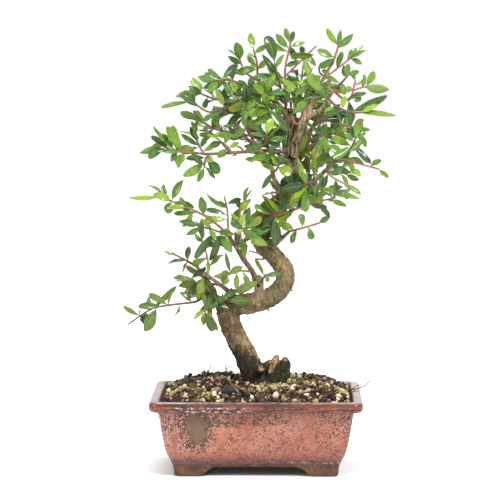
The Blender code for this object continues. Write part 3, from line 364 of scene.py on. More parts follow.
# %% Sprays, with their twigs and seen leaves
# Each spray: its twig, its leaves (base x and z, tip x and z, width), and its pairs of leaves.
SPRAYS = {
    "low_left": ([(-47, -9, 169), (-57, -13, 161), (-79, -14, 158), (-100, -8, 153),
        (-123, 4, 137)],
        [(-99, 154, -76, 175, 5.5), (-105, 151, -105, 137, 10.5), (-102, 154, -103, 165, 5),
         (-110, 149, -128, 155, 4.5), (-84, 157, -79, 172, 5), (-72, 159, -78, 147, 5),
         (-63, 159, -73, 170, 5.5)], 0),
    "elbow": ([(-39, -6, 161), (-44, -18, 159), (-48, -26, 153)],
        [(-44, 158, -25, 153, 7.5), (-48, 153, -50, 139, 6.5), (-48, 153, -41, 134, 6.5),
         (-48, 156, -60, 145, 5), (-41, 159, -51, 165, 5.5)], 0),
    "branch_end": ([(-62, -20, 198), (-68, -25, 202), (-77, -28, 207)],
        [(-65, 200, -64, 214, 5.5), (-67, 201, -84, 197, 5), (-63, 199, -70, 189, 5.5),
         (-74, 205, -88, 209, 5)], 0),
    "branch_up": ([(-46, -19, 186), (-45, -30, 195), (-47, -35, 209), (-52, -36, 223)],
        [(-45, 196, -31, 207, 5.5), (-46, 205, -60, 199, 5.5), (-48, 212, -38, 221, 5),
         (-51, 221, -58, 228, 4)], 1),
    "branch_low": ([(-33, -16, 176), (-43, -5, 177), (-54, 3, 177), (-62, 8, 174)],
        [(-53, 177, -75, 174, 7.5), (-57, 176, -76, 180, 5.5), (-49, 176, -64, 163, 7.5),
         (-43, 177, -53, 186, 5.5)], 1),
    "knee_left": ([(-4, -11, 189), (-16, -22, 191), (-27, -30, 188)],
        [(-23, 189, -29, 210, 4), (-27, 188, -13, 196, 6.5), (-27, 188, -31, 178, 8.5),
         (-18, 190, -19, 174, 5.5), (-12, 191, -5, 175, 5.5)], 1),
    "knee_right": ([(2, -9, 176), (6, -17, 183), (9, -23, 188)],
        [(7, 188, 24, 189, 5), (5, 187, -2, 203, 4.5), (8, 188, 10, 180, 5)], 0),
    "mid_left": ([(-25, -17, 221), (-34, -21, 232), (-50, -26, 244), (-70, -22, 253),
        (-91, -14, 260)],
        [(-90, 260, -122, 260, 4.5), (-81, 258, -69, 277, 7.5), (-86, 259, -88, 273, 5),
         (-80, 257, -84, 245, 8.5), (-55, 247, -78, 245, 5), (-63, 251, -72, 261, 5),
         (-50, 244, -52, 262, 7.5)], 1),
    "mid_up_left": ([(-23, -17, 218), (-27, -6, 230), (-28, 1, 245), (-31, 5, 259)],
        [(-29, 250, -48, 263, 4.5), (-27, 241, -48, 248, 5), (-27, 236, -50, 237, 7.5),
         (-29, 252, -15, 257, 5), (-28, 247, -37, 255, 5)], 0),
    "mid_up": ([(-16, -11, 225), (-16, -5, 235), (-16, -2, 245), (-11, 0, 257)],
        [(-15, 245, -5, 258, 7.5), (-16, 238, -7, 249, 5.5), (-16, 233, -25, 244, 5.5),
         (-14, 249, -20, 259, 5)], 1),
    "mid_low": ([(-20, -16, 213), (-24, -27, 222), (-37, -37, 230), (-53, -43, 235)],
        [(-48, 233, -66, 226, 5), (-37, 230, -58, 205, 7.5), (-34, 229, -44, 201, 6.5),
         (-26, 223, -28, 211, 7.5), (-41, 232, -53, 241, 5.5)], 0),
    "mid_front": ([(-15, -12, 213), (-11, -25, 218), (-9, -34, 225), (-12, -40, 233)],
        [(-12, 231, -24, 239, 7.5), (-10, 225, 11, 216, 8.5), (-11, 219, -11, 205, 6.5),
         (-10, 229, 7, 229, 6), (-11, 232, 5, 243, 7.5), (-9, 223, -17, 214, 5.5)], 0),
    "mid_right": ([(31, -4, 227), (41, -9, 230), (51, -11, 233), (61, -9, 236)],
        [(37, 229, 22, 235, 7.5), (43, 231, 42, 244, 6.5), (49, 233, 52, 220, 6.5),
         (58, 235, 70, 242, 5.5), (39, 230, 33, 216, 5.5)], 0),
    "red_branch": ([(5, 13, 233), (12, -4, 240), (22, -14, 244), (39, -20, 250), (56, -22, 256),
        (74, -18, 260)],
        [(67, 258, 85, 252, 5), (37, 249, 39, 265, 9.5), (21, 244, 10, 259, 5),
         (24, 245, 23, 269, 7.5), (55, 256, 69, 243, 5), (47, 253, 55, 265, 5)], 1),
    "left_arm_end": ([(-57, -14, 302), (-70, -14, 303), (-80, -10, 305), (-92, -5, 309)],
        [(-85, 306, -103, 297, 7), (-80, 305, -98, 327, 5), (-84, 307, -100, 318, 5.5),
         (-71, 304, -85, 327, 9), (-67, 303, -75, 287, 9), (-76, 305, -81, 294, 5.5)], 1),
    "left_arm_low": ([(-45, -14, 301), (-48, -22, 296), (-49, -30, 289)],
        [(-47, 298, -67, 297, 5.5), (-48, 295, -69, 281, 8), (-47, 297, -35, 283, 9.5),
         (-48, 290, -39, 278, 5.5), (-49, 289, -55, 275, 5.5)], 0),
    "left_arm_up": ([(-49, -14, 301), (-53, -3, 305), (-56, 7, 310), (-61, 17, 318)],
        [(-54, 307, -72, 319, 5), (-53, 306, -48, 317, 5), (-57, 312, -64, 326, 5),
         (-51, 303, -40, 309, 5)], 2),
    "left_arm_in": ([(-24, -13, 302), (-27, -24, 308), (-32, -34, 313)],
        [(-26, 306, -16, 312, 5.5), (-27, 307, -37, 298, 5.5), (-32, 313, -44, 309, 6.5),
         (-30, 311, -28, 323, 5.5)], 1),
    "left_spur": ([(-16, -6, 326), (-26, 3, 322), (-38, 9, 323), (-56, 15, 332)],
        [(-56, 332, -62, 321, 5), (-44, 325, -49, 312, 5), (-33, 322, -42, 331, 5.5),
         (-50, 328, -58, 340, 5)], 2),
    "left_high_low": ([(-3, -13, 357), (-12, -21, 354), (-26, -27, 347), (-44, -28, 341),
        (-61, -24, 351)],
        [(-61, 350, -90, 345, 4.5), (-61, 351, -62, 362, 6.5), (-54, 347, -71, 357, 5),
         (-26, 347, -30, 359, 5.5), (-18, 349, -30, 338, 7.5), (-41, 343, -50, 333, 5)], 1),
    "left_high_mid": ([(-14, -14, 363), (-24, -11, 356), (-37, -7, 352), (-57, -1, 359)],
        [(-34, 353, -23, 343, 5.5), (-45, 354, -50, 344, 5), (-54, 358, -65, 365, 5),
         (-31, 354, -39, 361, 5.5)], 2),
    "left_high": ([(-10, -14, 361), (-17, -25, 368), (-27, -33, 371), (-38, -38, 371)],
        [(-29, 371, -45, 381, 5), (-36, 371, -55, 374, 6.5), (-35, 371, -44, 360, 7.5),
         (-21, 369, -24, 382, 6.5), (-25, 371, -19, 359, 5.5)], 0),
    "left_dark": ([(-4, -18, 315), (-9, -25, 329), (-11, -29, 341), (-10, -31, 352)],
        [(-10, 334, -31, 343, 5.5), (-10, 349, -26, 343, 7.5), (-7, 322, 4, 332, 7.5),
         (-8, 325, -23, 317, 6.5), (-10, 343, -1, 352, 5.5)], 2),
    "left_front": ([(1, -17, 307), (5, -30, 309), (10, -42, 315), (9, -50, 322)],
        [(9, 313, 23, 305, 8.5), (6, 310, -10, 306, 7.5), (9, 315, 28, 317, 5),
         (9, 321, 15, 336, 7.5), (9, 319, -6, 322, 5.5)], 0),
    "inner": ([(31, 0, 332), (23, -13, 336), (14, -23, 341), (9, -31, 347)],
        [(15, 341, 29, 323, 8.5), (10, 346, 5, 358, 7.5), (17, 340, 13, 327, 7.5),
         (23, 336, 17, 349, 5.5)], 2),
    "stem_low": ([(15, -14, 283), (19, -25, 287), (21, -33, 292)],
        [(20, 289, 33, 283, 10.5), (18, 286, 5, 291, 5.5), (18, 285, 5, 268, 5),
         (21, 292, 27, 302, 5.5)], 0),
    "top_left": ([(2, 8, 369), (-7, 12, 374), (-13, 15, 380), (-17, 17, 391)],
        [(-17, 389, -20, 406, 8.5), (-11, 377, -1, 385, 5.5), (-12, 378, -27, 376, 5.5),
         (-15, 385, -28, 393, 5.5)], 0),
    "top_pink": ([(6, 7, 364), (1, -1, 374), (0, -6, 387), (-3, -10, 399)],
        [(-3, 398, -6, 415, 6.5), (-2, 395, 9, 403, 5), (0, 384, -9, 394, 5),
         (0, 380, 10, 391, 5.5)], 0),
    "top_mid": ([(30, 0, 335), (25, -9, 354), (21, -12, 369), (17, -16, 386)],
        [(17, 387, 9, 412, 10.5), (19, 378, 5, 395, 6.5), (21, 371, 11, 382, 7.5),
         (23, 361, 14, 373, 7.5), (24, 357, 37, 365, 6.5), (18, 383, 26, 395, 5)], 0),
    "top_red": ([(32, 0, 336), (32, 9, 348), (27, 12, 364), (27, 12, 383), (30, 12, 397),
        (32, 12, 406)],
        [(29, 399, 18, 414, 6.5), (27, 382, 40, 389, 5), (30, 402, 46, 406, 5),
         (27, 374, 14, 367, 5.5), (48, 395, 56, 383, 5), (44, 391, 42, 402, 5)], 1),
    "stub_top": ([(53, -12, 361), (52, -20, 367), (49, -28, 374)],
        [(51, 369, 65, 353, 7.5), (49, 373, 47, 388, 6.5), (50, 371, 38, 367, 6.5),
         (51, 369, 62, 375, 5.5), (52, 366, 41, 358, 5.5)], 0),
    "top_right": ([(61, 7, 368), (67, 13, 374), (79, 19, 383), (92, 23, 393)],
        [(86, 388, 95, 400, 5), (82, 385, 84, 373, 5.5), (77, 382, 81, 397, 5.5),
         (71, 377, 61, 379, 4.5), (90, 392, 100, 385, 5)], 1),
    "top_end": ([(72, 5, 387), (75, 2, 396), (77, 0, 403)],
        [(77, 403, 66, 419, 5.5), (77, 402, 79, 418, 4.5), (76, 400, 91, 414, 6.5),
         (74, 392, 57, 399, 7), (73, 389, 59, 382, 7)], 0),
    "right_high": ([(75, -20, 364), (81, -27, 370), (85, -33, 375)],
        [(78, 367, 64, 375, 5), (84, 373, 86, 386, 5.5), (79, 368, 83, 357, 5.5),
         (85, 375, 96, 379, 5)], 0),
    "right_red": ([(73, -19, 360), (80, -15, 354), (88, -11, 353), (93, -6, 370)],
        [(98, 363, 101, 376, 5.5), (104, 365, 111, 379, 7), (90, 356, 98, 351, 6.5),
         (93, 369, 87, 378, 5)], 0),
    "right_long": ([(67, -17, 354), (74, -25, 347), (87, -33, 341), (99, -38, 341)],
        [(88, 341, 122, 357, 8), (92, 341, 130, 338, 5), (79, 345, 83, 356, 6),
         (74, 346, 64, 338, 5.5), (96, 341, 113, 348, 5.5)], 0),
    "right_mid": ([(53, 11, 326), (66, 17, 331), (79, 21, 328), (92, 23, 325)],
        [(70, 330, 89, 340, 5.5), (85, 326, 74, 318, 6.5), (92, 325, 108, 322, 5),
         (88, 325, 104, 306, 7), (91, 325, 102, 332, 5), (66, 331, 70, 344, 5.5)], 0),
    "right_front": ([(48, 10, 312), (53, -5, 315), (60, -17, 317), (65, -26, 320)],
        [(59, 317, 76, 324, 9.5), (57, 316, 58, 301, 8), (63, 319, 75, 311, 6.5),
         (61, 318, 65, 331, 5.5)], 0),
    "low_right_end": ([(87, -20, 305), (90, -27, 310), (93, -32, 317)],
        [(89, 309, 70, 317, 7.5), (92, 314, 82, 322, 5.5), (91, 312, 107, 293, 8),
         (89, 308, 83, 298, 5.5), (93, 316, 102, 322, 5.5)], 0),
    "low_right_red": ([(79, -20, 299), (88, -13, 294), (99, -7, 291), (116, -1, 286)],
        [(114, 287, 125, 278, 4.5), (88, 294, 91, 283, 5), (103, 290, 90, 298, 5),
         (107, 288, 118, 295, 5)], 0),
    "low_right_hang": ([(65, -18, 286), (70, -27, 281), (79, -35, 276), (89, -39, 271)],
        [(70, 281, 82, 290, 7.5), (79, 276, 98, 264, 5), (73, 279, 73, 262, 5.5),
         (87, 271, 84, 260, 5), (66, 284, 62, 270, 5.5)], 0),
    "dark_fan": ([(53, -16, 275), (50, -28, 275), (46, -37, 274)],
        [(47, 274, 22, 269, 9.5), (49, 275, 34, 283, 7.5), (48, 274, 35, 260, 7.5),
         (51, 275, 57, 260, 8.5), (46, 274, 43, 286, 5.5)], 0),
}
# A second twig on two of the sprays.
FORKS = {
    "top_red": [(28, 12, 376), (41, 18, 388), (56, 24, 402)],
    "right_red": [(91, -9, 361), (97, -5, 363), (106, -2, 365)],
}
# Twigs of the sprays at the back.
BACK_SPRAYS = {
    "back_top": [(33, 2, 333), (38, 17, 350), (42, 30, 368), (44, 40, 384)],
    "back_top_end": [(8, 36, 344), (0, 46, 350), (-10, 58, 357)],
    "back_left_high": [(15, 27, 337), (0, 32, 341), (-14, 33, 340), (-30, 30, 337)],
    "back_right_end": [(66, 40, 314), (77, 50, 320), (88, 60, 322)],
    "back_right_up": [(58, 31, 309), (60, 37, 326), (62, 46, 348)],
    "back_right_low": [(50, 22, 304), (62, 22, 294), (76, 28, 284), (88, 34, 278)],
    "back_low_end": [(46, 42, 254), (56, 50, 258), (67, 56, 263)],
    "back_low_hang": [(38, 35, 252), (30, 46, 257), (19, 56, 261)],
    "back_mid_end": [(12, 44, 306), (0, 54, 312), (-17, 61, 318)],
    "back_mid_low": [(27, 28, 292), (29, 44, 282), (34, 58, 272)],
    "back_crown": [(32, 1, 320), (44, 19, 334), (53, 38, 349), (58, 56, 359)],
    "back_left": [(-25, -13, 302), (-32, 2, 309), (-42, 20, 318), (-50, 34, 322)],
    "back_trunk": [(5, 14, 236), (22, 32, 244), (38, 46, 248), (52, 56, 250)],
}
BACK_PAIRS = 3
SPRAYS |= {name: (twig, [], BACK_PAIRS) for name, twig in BACK_SPRAYS.items()}
print("sprays:", len(SPRAYS), "seen leaves:", sum(len(seen) for _, seen, _ in SPRAYS.values()))

# %% Smooth routes and rings along them
END_REACH = np.array([0.35, 0.7, 0.92])
END_RADII = np.array([0.93, 0.7, 0.35])


def unit(vectors):
    """Each vector divided by its own length."""
    return vectors / np.linalg.norm(vectors, axis=-1, keepdims=True)


def smooth_route(points, steps):
    """A Catmull-Rom curve. Between b and c, with neighbours a and d, it is
    (2b + (c - a) t + (2a - 5b + 4c - d) t^2 + (3b - a - 3c + d) t^3) / 2."""
    known = np.array(points, float)
    known = np.vstack([2 * known[0] - known[1], known, 2 * known[-1] - known[-2]])
    a, b, c, d = (known[k : len(known) - 3 + k, None] for k in range(4))
    t = (np.arange(steps) / steps)[None, :, None]
    curve = b + 0.5 * ((c - a) * t + (2 * a - 5 * b + 4 * c - d) * t**2
                       + (3 * b - a - 3 * c + d) * t**3)
    return np.vstack([curve.reshape(-1, known.shape[1]), known[-2]])


def route_frames(route):
    """Along, across and up at each point of a route. Across is carried along without twist."""
    along = unit(np.gradient(route, axis=0))
    helper = [0.0, 0.0, 1.0] if abs(along[0][2]) < 0.8 else [0.0, 1.0, 0.0]
    across = [unit(np.cross(along[0], helper))]
    for heading in along[1:]:
        across.append(unit(across[-1] - heading * np.dot(across[-1], heading)))
    across = np.array(across)
    return along, across, np.cross(along, across)


def ring_tube(route, radii, columns):
    """Rings round a route: centre + radius (cos turn across + sin turn up). The last rings close
    in a round end."""
    along, across, up = route_frames(route)
    route = np.vstack([route, route[-1] + along[-1] * (END_REACH * radii[-1])[:, None]])
    across, up = (np.vstack([way, np.repeat(way[-1:], 3, axis=0)]) for way in (across, up))
    radii = np.append(radii, radii[-1] * END_RADII)
    turn = (2 * np.pi * np.arange(columns) / columns)[None, :, None]
    ring = np.cos(turn) * across[:, None] + np.sin(turn) * up[:, None]
    return route[:, None] + radii[:, None, None] * ring


def tube_chart(rows, columns):
    """Share of the length, and the share of the way round, mirrored so that it has no seam."""
    along = np.repeat(np.linspace(0, 1, rows)[:, None], columns, axis=1)
    around = np.abs(2 * np.arange(columns) / columns - 1)
    return np.stack([along, np.repeat(around[None], rows, axis=0)], axis=-1)


print("points on the trunk's route:", len(smooth_route(WOOD["trunk"], 8)))

# %% [markdown]
# ## The same leaves as the packed sprays
# Each leaf in the solid model was drawn by a seeded rule: its base, tip and tilt are random near
# what the photograph shows, and draws that crossed another piece were thrown away. The packed mesh
# says which draw was kept, because it has a corner at that leaf's tip. So the rule is run again
# with the same seeds, and each leaf here lies where its solid does.

# %% Growth rule
LEAF_DRAWS, SPRAY_SEED = 70, 400
TWIG_ROOT, TWIG_TIP = 1.35, 0.85
SAME_PLACE = 0.02
PUSHES = np.array([2.2 * ((k + 1) // 2) * (1 if k % 2 else -1) for k in range(17)])
BENDS = {"arch": (0.0, 0.09), "sickle": (-0.05, 0.05), "fold": (0.1, 0.35)}


def turned(rng, way, spread):
    """A direction near the given one."""
    return unit(np.array(way) + spread * rng.normal(size=3))


def draw_values(leaf, rng, ranges):
    """One random number for each name, in the order of the names."""
    for key, (least, most) in ranges.items():
        leaf[key] = rng.uniform(least, most)


def seen_leaf(rng, routes, shape, jitter):
    """A leaf between two places seen from the front, its depth drawn at random."""
    base_x, base_z, tip_x, tip_z, width = shape
    every = np.vstack([route[2:] for route in routes])
    order = np.argsort(np.hypot(every[:, 0] - base_x, every[:, 2] - base_z))
    base = every[order[min(int(jitter * 4 * rng.random()), len(order) - 1)]]
    flat = np.array([tip_x - base[0], 0.0, tip_z - base[2]])
    reach = np.linalg.norm(flat)
    depth = reach * rng.uniform(-0.35 - 0.4 * jitter, 0.35 + 0.4 * jitter)
    swing = 0.25 * jitter * reach * rng.normal(size=3)
    tip = base + flat * (1 - 0.3 * jitter * rng.random()) + np.array([0.0, depth, 0.0]) + swing
    return dict(base=base, tip=tip, width=width,
                facing=turned(rng, (0.0, -1.0, 0.35), 0.3 + 0.5 * jitter))


def rule_leaf(rng, routes, place, pairs, jitter):
    """A leaf of an opposite pair, at about 50 degrees from the twig, each pair turned from the
    last."""
    pair, hand = place
    route = routes[pair % len(routes)]
    share = 0.42 + 0.56 * (pair + 1) / pairs
    share = min(share + 0.16 * jitter * rng.normal(), 0.98)
    index = int(np.clip(share * (len(route) - 1), 2, len(route) - 2))
    forward = unit(route[index + 1] - route[index - 1])
    across = unit(np.cross(forward, [0.2, 0.3, 1.0]))
    up = np.cross(forward, across)
    turn = math.radians(90 * pair + 35) + 0.5 * rng.normal() + 2.2 * jitter * rng.normal()
    out = hand * (math.cos(turn) * across + math.sin(turn) * up)
    lean = math.radians(rng.uniform(38, 62) if pair < pairs - 1 else rng.uniform(15, 40))
    length = rng.uniform(14, 25) * (1 - 0.35 * jitter)
    heading = unit(math.cos(lean) * forward + math.sin(lean) * out + np.array([0.0, 0.0, 0.1]))
    return dict(base=route[index], tip=route[index] + heading * length,
                facing=turned(rng, (0.0, -0.4, 0.7), 0.5), width=length * rng.uniform(0.3, 0.4))


print("draws for each leaf:", LEAF_DRAWS, "places of a twig's end:", len(PUSHES))

# %% The draws that the packed sprays kept
def read_triples(items, name):
    """Three numbers of each of a mesh's items, such as the place of each corner."""
    values = np.zeros(len(items) * 3, np.float32)
    items.foreach_get(name, values)
    return values.reshape(-1, 3)


def packed_twigs(twigs, corners):
    """Routes of a spray's twigs. Each was pushed nearer or farther until it was clear, and the
    packed twig's last ring tells how far: its corners lie TWIG_TIP from the route's end."""
    routes = []
    for number, points in enumerate(twigs):
        route = smooth_route(points, 4)
        if number:
            nearest = np.argmin(np.linalg.norm(routes[0] - route[0], axis=1))
            shift = routes[0][nearest] - route[0]
            route = route + shift * np.linspace(1, 0, len(route))[:, None]
        ends = route[-1] + PUSHES[:, None] * np.array([0.0, 1.0, 0.0])
        away = np.linalg.norm(corners[None] - ends[:, None], axis=2)
        push = PUSHES[np.argmax((abs(away - TWIG_TIP) < SAME_PLACE).sum(axis=1))]
        share = np.linspace(0, 1, len(route))[:, None] ** 0.7
        routes.append(route + share * np.array([0.0, push, 0.0]))
    return routes


def packed_leaves(index, routes, seen, pairs, corners):
    """The leaves of one spray, each the draw whose tip is a corner of the packed spray."""
    rng = np.random.default_rng(SPRAY_SEED + index)
    places = [(pair, hand) for pair in range(pairs) for hand in (1, -1)]
    leaves = []
    for wanted in seen + places:
        for draw in range(LEAF_DRAWS):
            jitter = draw / LEAF_DRAWS
            if len(wanted) == 5:
                leaf = seen_leaf(rng, routes, wanted, jitter)
            else:
                leaf = rule_leaf(rng, routes, wanted, pairs, jitter)
            draw_values(leaf, rng, BENDS)
            if np.linalg.norm(corners - leaf["tip"], axis=1).min() < SAME_PLACE:
                leaves.append(leaf)
                break
    return leaves


sprays = {}
for index, (name, (route, seen, pairs)) in enumerate(SPRAYS.items()):
    packed = frame["nodes"]["spray_" + name].data
    corners = read_triples(packed.vertices, "co").astype(float) / MM
    routes = packed_twigs([route, FORKS[name]] if name in FORKS else [route], corners)
    sprays[name] = {"routes": routes, "leaves": packed_leaves(index, routes, seen, pairs, corners)}
packed_count = sum(len(spray["leaves"]) for spray in sprays.values())
print("leaves that lie on packed ones:", packed_count)

# %% [markdown]
# ## Leaves
# A pomegranate leaf is narrow at its stalk, widest past its middle and blunt at its tip. Its blade
# is folded a little along a pale rib, and its edge waves. It could be one flat card, but a card has
# no edge for the light to catch. Here each leaf is a closed shell, eight points round and eleven
# along, thick at the rib and thin at the edge.

# %% Leaf surface
LEAF_ROWS = np.array([0, 0.08, 0.14, 0.23, 0.35, 0.49, 0.63, 0.76, 0.88, 0.965, 1.0])
LEAF_TURNS = 2 * np.pi * np.arange(8) / 8
STALK = 0.1
HABITS = {"start": (0.65, 1.0), "end": (0.40, 1.05), "wave": (0.08, 0.35), "waves": (1.0, 2.2),
          "phase": (0.0, 1.0), "twist": (-0.8, 0.8), "curl": (-0.05, 0.18)}


def leaf_widths(share, start, end):
    """Half width from 0 at the stalk to 1: u^start (1 - u)^end over its own maximum. A small end
    gives a blunt tip."""
    u = np.clip((share - STALK) / (1 - STALK), 0.0, 1.0)
    top = start / (start + end)
    return u**start * (1 - u) ** end / (top**start * (1 - top) ** end)


def leaf_shell(leaf):
    """A blade as rings. On the way along, the middle line bows by 4 s (1 - s); across, the point at
    v = cos turn lies w v to the side, and rises by 1.6 fold w |v|^1.3 and by the edge's wave."""
    along = leaf["tip"] - leaf["base"]
    length = np.linalg.norm(along)
    along = along / length
    side = unit(np.cross(leaf["facing"], along))
    normal = np.cross(along, side)
    s = LEAF_ROWS[:, None]
    turn = LEAF_TURNS[None]
    v = np.cos(turn)
    half = 0.53 * leaf["width"] * leaf_widths(s, leaf["start"], leaf["end"])
    stalk = 0.42 * np.clip((STALK * 1.8 - s) / STALK, 0.0, 1.0)
    half = np.maximum(half, np.maximum(stalk, 0.1))
    thick = np.maximum(stalk, 0.16 + 0.10 * (1 - s)) * np.where(s > 0.97, 0.6, 1.0)
    rib = 0.16 * np.exp(-((v / 0.3) ** 2)) * (np.sin(turn) < 0) * (1 - s)
    wave = np.sin(2 * np.pi * (leaf["waves"] * s + 0.5 * np.sign(v) * leaf["phase"]))
    rise = half * (1.6 * leaf["fold"] * abs(v) ** 1.3 + leaf["wave"] * wave * v**2)
    bow = 4 * s * (1 - s) * length
    twist = leaf["twist"] * (s - 0.3)
    x = half * v * np.cos(twist) - rise * np.sin(twist)
    z = half * v * np.sin(twist) + rise * np.cos(twist) - leaf["curl"] * length * s**2 * (1 - s) * 3
    z = z + thick * np.sin(turn) - rib
    middle = leaf["base"] + along * 0.995 * length * s[..., None]
    middle = middle + (bow * leaf["sickle"])[..., None] * side
    return middle + x[..., None] * side + (z + bow * leaf["arch"])[..., None] * normal


def leaf_chart():
    """Share of the length, and share of the width from one edge to the other."""
    across = 0.5 + 0.5 * np.cos(LEAF_TURNS)
    return np.stack(np.meshgrid(LEAF_ROWS, across, indexing="ij"), axis=-1)


print("faces of a leaf:", len(shell_faces(len(LEAF_ROWS), len(LEAF_TURNS))))

# %% [markdown]
# ## Wood
# The trunk bends twice and thickens again at every cut, and each branch leaves it through a swollen
# collar. Separate tubes would meet in hard creases. So all tubes are joined, one voxel remesh turns
# them into a single skin, and a few smoothing steps fill the corners as growing wood does. Lumps,
# warts and the fine relief of bark are then added along the normals, from sums of plane waves, and
# so are the furrows of dead wood, a knot hole and the scars of cuts.

# %% Branches, foot and spurs
BRANCH_COLUMNS, STRAND_COLUMNS, SPUR_COLUMNS, SPUR_ROWS = 24, 16, 12, 6
SPLIT = {"leader_left": (5, 0.9), "leader_stub": (4, 0.7), "leader_right": (3, 0.8)}
FLARE_HALF, FLARE_COLUMNS = (23.7, 15.7), 48
SPURS = [
    ((26, 3, 178), (35.6, 1, 178.5), 0.8), ((26, 4, 170), (34.8, 3, 169.5), 0.7),
    ((8, -4, 158), (12, -7, 150.5), 0.7), ((-8, -4, 154), (-4, -8, 148.5), 0.7),
    ((10, 8, 205), (2, 3, 211), 0.8), ((20, 12, 256), (14, 8, 261), 0.9),
    ((-2, -8, 92), (3.5, -15.0, 96.5), 4.2), ((3, -3, 90), (11.5, -6, 100.5), 4.2),
    ((19, -3, 90), (22.5, -4, 100.5), 3.4), ((26, -3, 90), (29, -3, 100.5), 3.4),
    ((2, -6, 164), (1.5, -11.5, 156.5), 3.7), ((13, -8, 92), (17.5, -11, 103), 2.6),
    ((42, -4, 330), (47, -20, 352), 1.0), ((36, 0, 326), (35, -8, 353), 0.9)]


def bell(values, middle, width):
    """exp(-((value - middle) / width)^2): 1 at the middle and nearly 0 two widths away."""
    return np.exp(-(((values - middle) / width) ** 2))


def branch_tubes(name):
    """A tube on the branch's route, with a collar r (1 + 0.4 exp(-(s / 1.1 r)^2)). Dead wood is
    split into strands that wind about the route at 0.55 r."""
    route = smooth_route(WOOD[name], 6)
    radii = route[:, 3].copy()
    route = route[:, :3]
    if name not in ("trunk", "lobe_left", "lobe_right"):
        run = np.append(0, np.cumsum(np.linalg.norm(np.diff(route, axis=0), axis=1)))
        past = np.maximum(run - radii[0] * 0.8, 0)
        slim = np.clip(0.76 + 0.05 * radii, 0, 1)
        radii *= slim * (1 + 0.4 * bell(past, 0, 1.1 * radii[0]))
    if name not in SPLIT:
        return [ring_tube(route, radii, BRANCH_COLUMNS)]
    strands, wind = SPLIT[name]
    along, across, up = route_frames(route)
    share = np.linspace(0, 1, len(route))
    tubes = []
    for number in range(strands):
        turn = 2 * np.pi * number / strands + wind * share * 2 + 0.5 * np.sin(5 * share + number)
        out = np.cos(turn)[:, None] * across + np.sin(turn)[:, None] * up
        rows = len(route) - (number * 2) % 5
        thin = radii * (0.52 + 0.09 * np.sin(7 * share + 2.1 * number))
        strand = route + 0.55 * radii[:, None] * out
        tubes.append(ring_tube(strand[:rows], thin[:rows], STRAND_COLUMNS))
    return tubes


def root_flare():
    """The foot: z and scale of an ellipse whose edge carries six root ridges that fade upwards."""
    rings = np.array([(60, 0.98, 9, 1), (70, 1.0, 9, 1), (78, 0.99, 9, 1), (83, 0.94, 8.7, 1),
                      (86.5, 0.84, 7.4, 1), (90, 0.7, 5, 0.8), (95, 0.46, -2, 0)])
    z, scale, x, y = (rings[:, k, None] for k in range(4))
    turn = 2 * np.pi * np.arange(FLARE_COLUMNS)[None] / FLARE_COLUMNS
    ridge = 0.05 * np.sin(6 * turn + 0.05 * z) + 0.035 * np.sin(11 * turn + 1.3)
    reach = scale * (1 + ridge * np.clip((z - 68) / 12, 0, 1))
    return np.stack([x + FLARE_HALF[0] * reach * np.cos(turn),
                     y + FLARE_HALF[1] * reach * np.sin(turn),
                     np.repeat(z, FLARE_COLUMNS, axis=1)], axis=-1)


def little_spur(foot, tip, radius):
    """A short dead spur between two points."""
    share = np.linspace(0, 1, SPUR_ROWS)[:, None]
    return ring_tube(np.array(foot) * (1 - share) + np.array(tip) * share,
                     np.linspace(radius * 1.5, radius, SPUR_ROWS), SPUR_COLUMNS)


wood_shells = [tube for name in WOOD for tube in branch_tubes(name)] + [root_flare()]
wood_shells += [little_spur(*spur) for spur in SPURS]
print("shells of wood:", len(wood_shells))

# %% One skin over all branches
WOOD_VOXEL, WOOD_SMOOTHING = 0.8, 4
GIRTH_BATCH = 8000


def joined_skin(shells, voxel, smoothing):
    """One skin round all shells: the points and the four-sided faces of a voxel remesh."""
    piece = shell_piece("skin", [], [(shell, 0, None, {}) for shell in shells], [])
    remesh = piece.modifiers.new("remesh", "REMESH")
    remesh.mode = "VOXEL"
    remesh.voxel_size = voxel * MM
    remesh.adaptivity = 0.0
    smooth = piece.modifiers.new("smooth", "SMOOTH")
    smooth.factor = 0.5
    smooth.iterations = smoothing
    made = piece.evaluated_get(bpy.context.evaluated_depsgraph_get()).to_mesh()
    points = read_triples(made.vertices, "co") / MM
    normals = read_triples(made.vertex_normals, "vector")
    corners = np.zeros(len(made.loops), np.int32)
    made.loops.foreach_get("vertex_index", corners)
    bpy.data.objects.remove(piece)
    return points, normals, corners.reshape(-1, 4)


def plane_waves(points, size, seed, count=40):
    """Smooth noise about -1 to 1: a sum of sines along random directions, about size mm long."""
    rng = np.random.default_rng(seed)
    ways = unit(rng.normal(size=(count, 3))) / (size * rng.uniform(0.7, 1.4, (count, 1)))
    phases = rng.uniform(0, 2 * np.pi, count)
    return np.sin(2 * np.pi * points @ ways.T + phases).sum(axis=1) / math.sqrt(count / 2)


def near(points, start, end, size):
    """exp(-(distance / size)^2) from the line between two places."""
    way = np.subtract(end, start)
    share = np.clip(((points - start) @ way) / max(way @ way, 1e-9), 0, 1)[:, None]
    return np.exp(-(((points - start - share * way) ** 2).sum(axis=1)) / size**2)


def girth_at(points):
    """For each point, the radius of the branch whose route passes nearest, and how far out it lies
    as a share of that radius."""
    routes = np.vstack([smooth_route(WOOD[name], 4) for name in WOOD])
    radii, out = np.empty((2, len(points)))
    for start in range(0, len(points), GIRTH_BATCH):
        part = slice(start, start + GIRTH_BATCH)
        away = np.linalg.norm(points[part, None] - routes[None, :, :3], axis=2) / routes[None, :, 3]
        radii[part] = routes[np.argmin(away, axis=1), 3]
        out[part] = away.min(axis=1)
    return radii, out


points, normals, faces = joined_skin(wood_shells, WOOD_VOXEL, WOOD_SMOOTHING)
girth, out = girth_at(points)
print("wood skin:", len(points), "points,", len(faces), "faces")

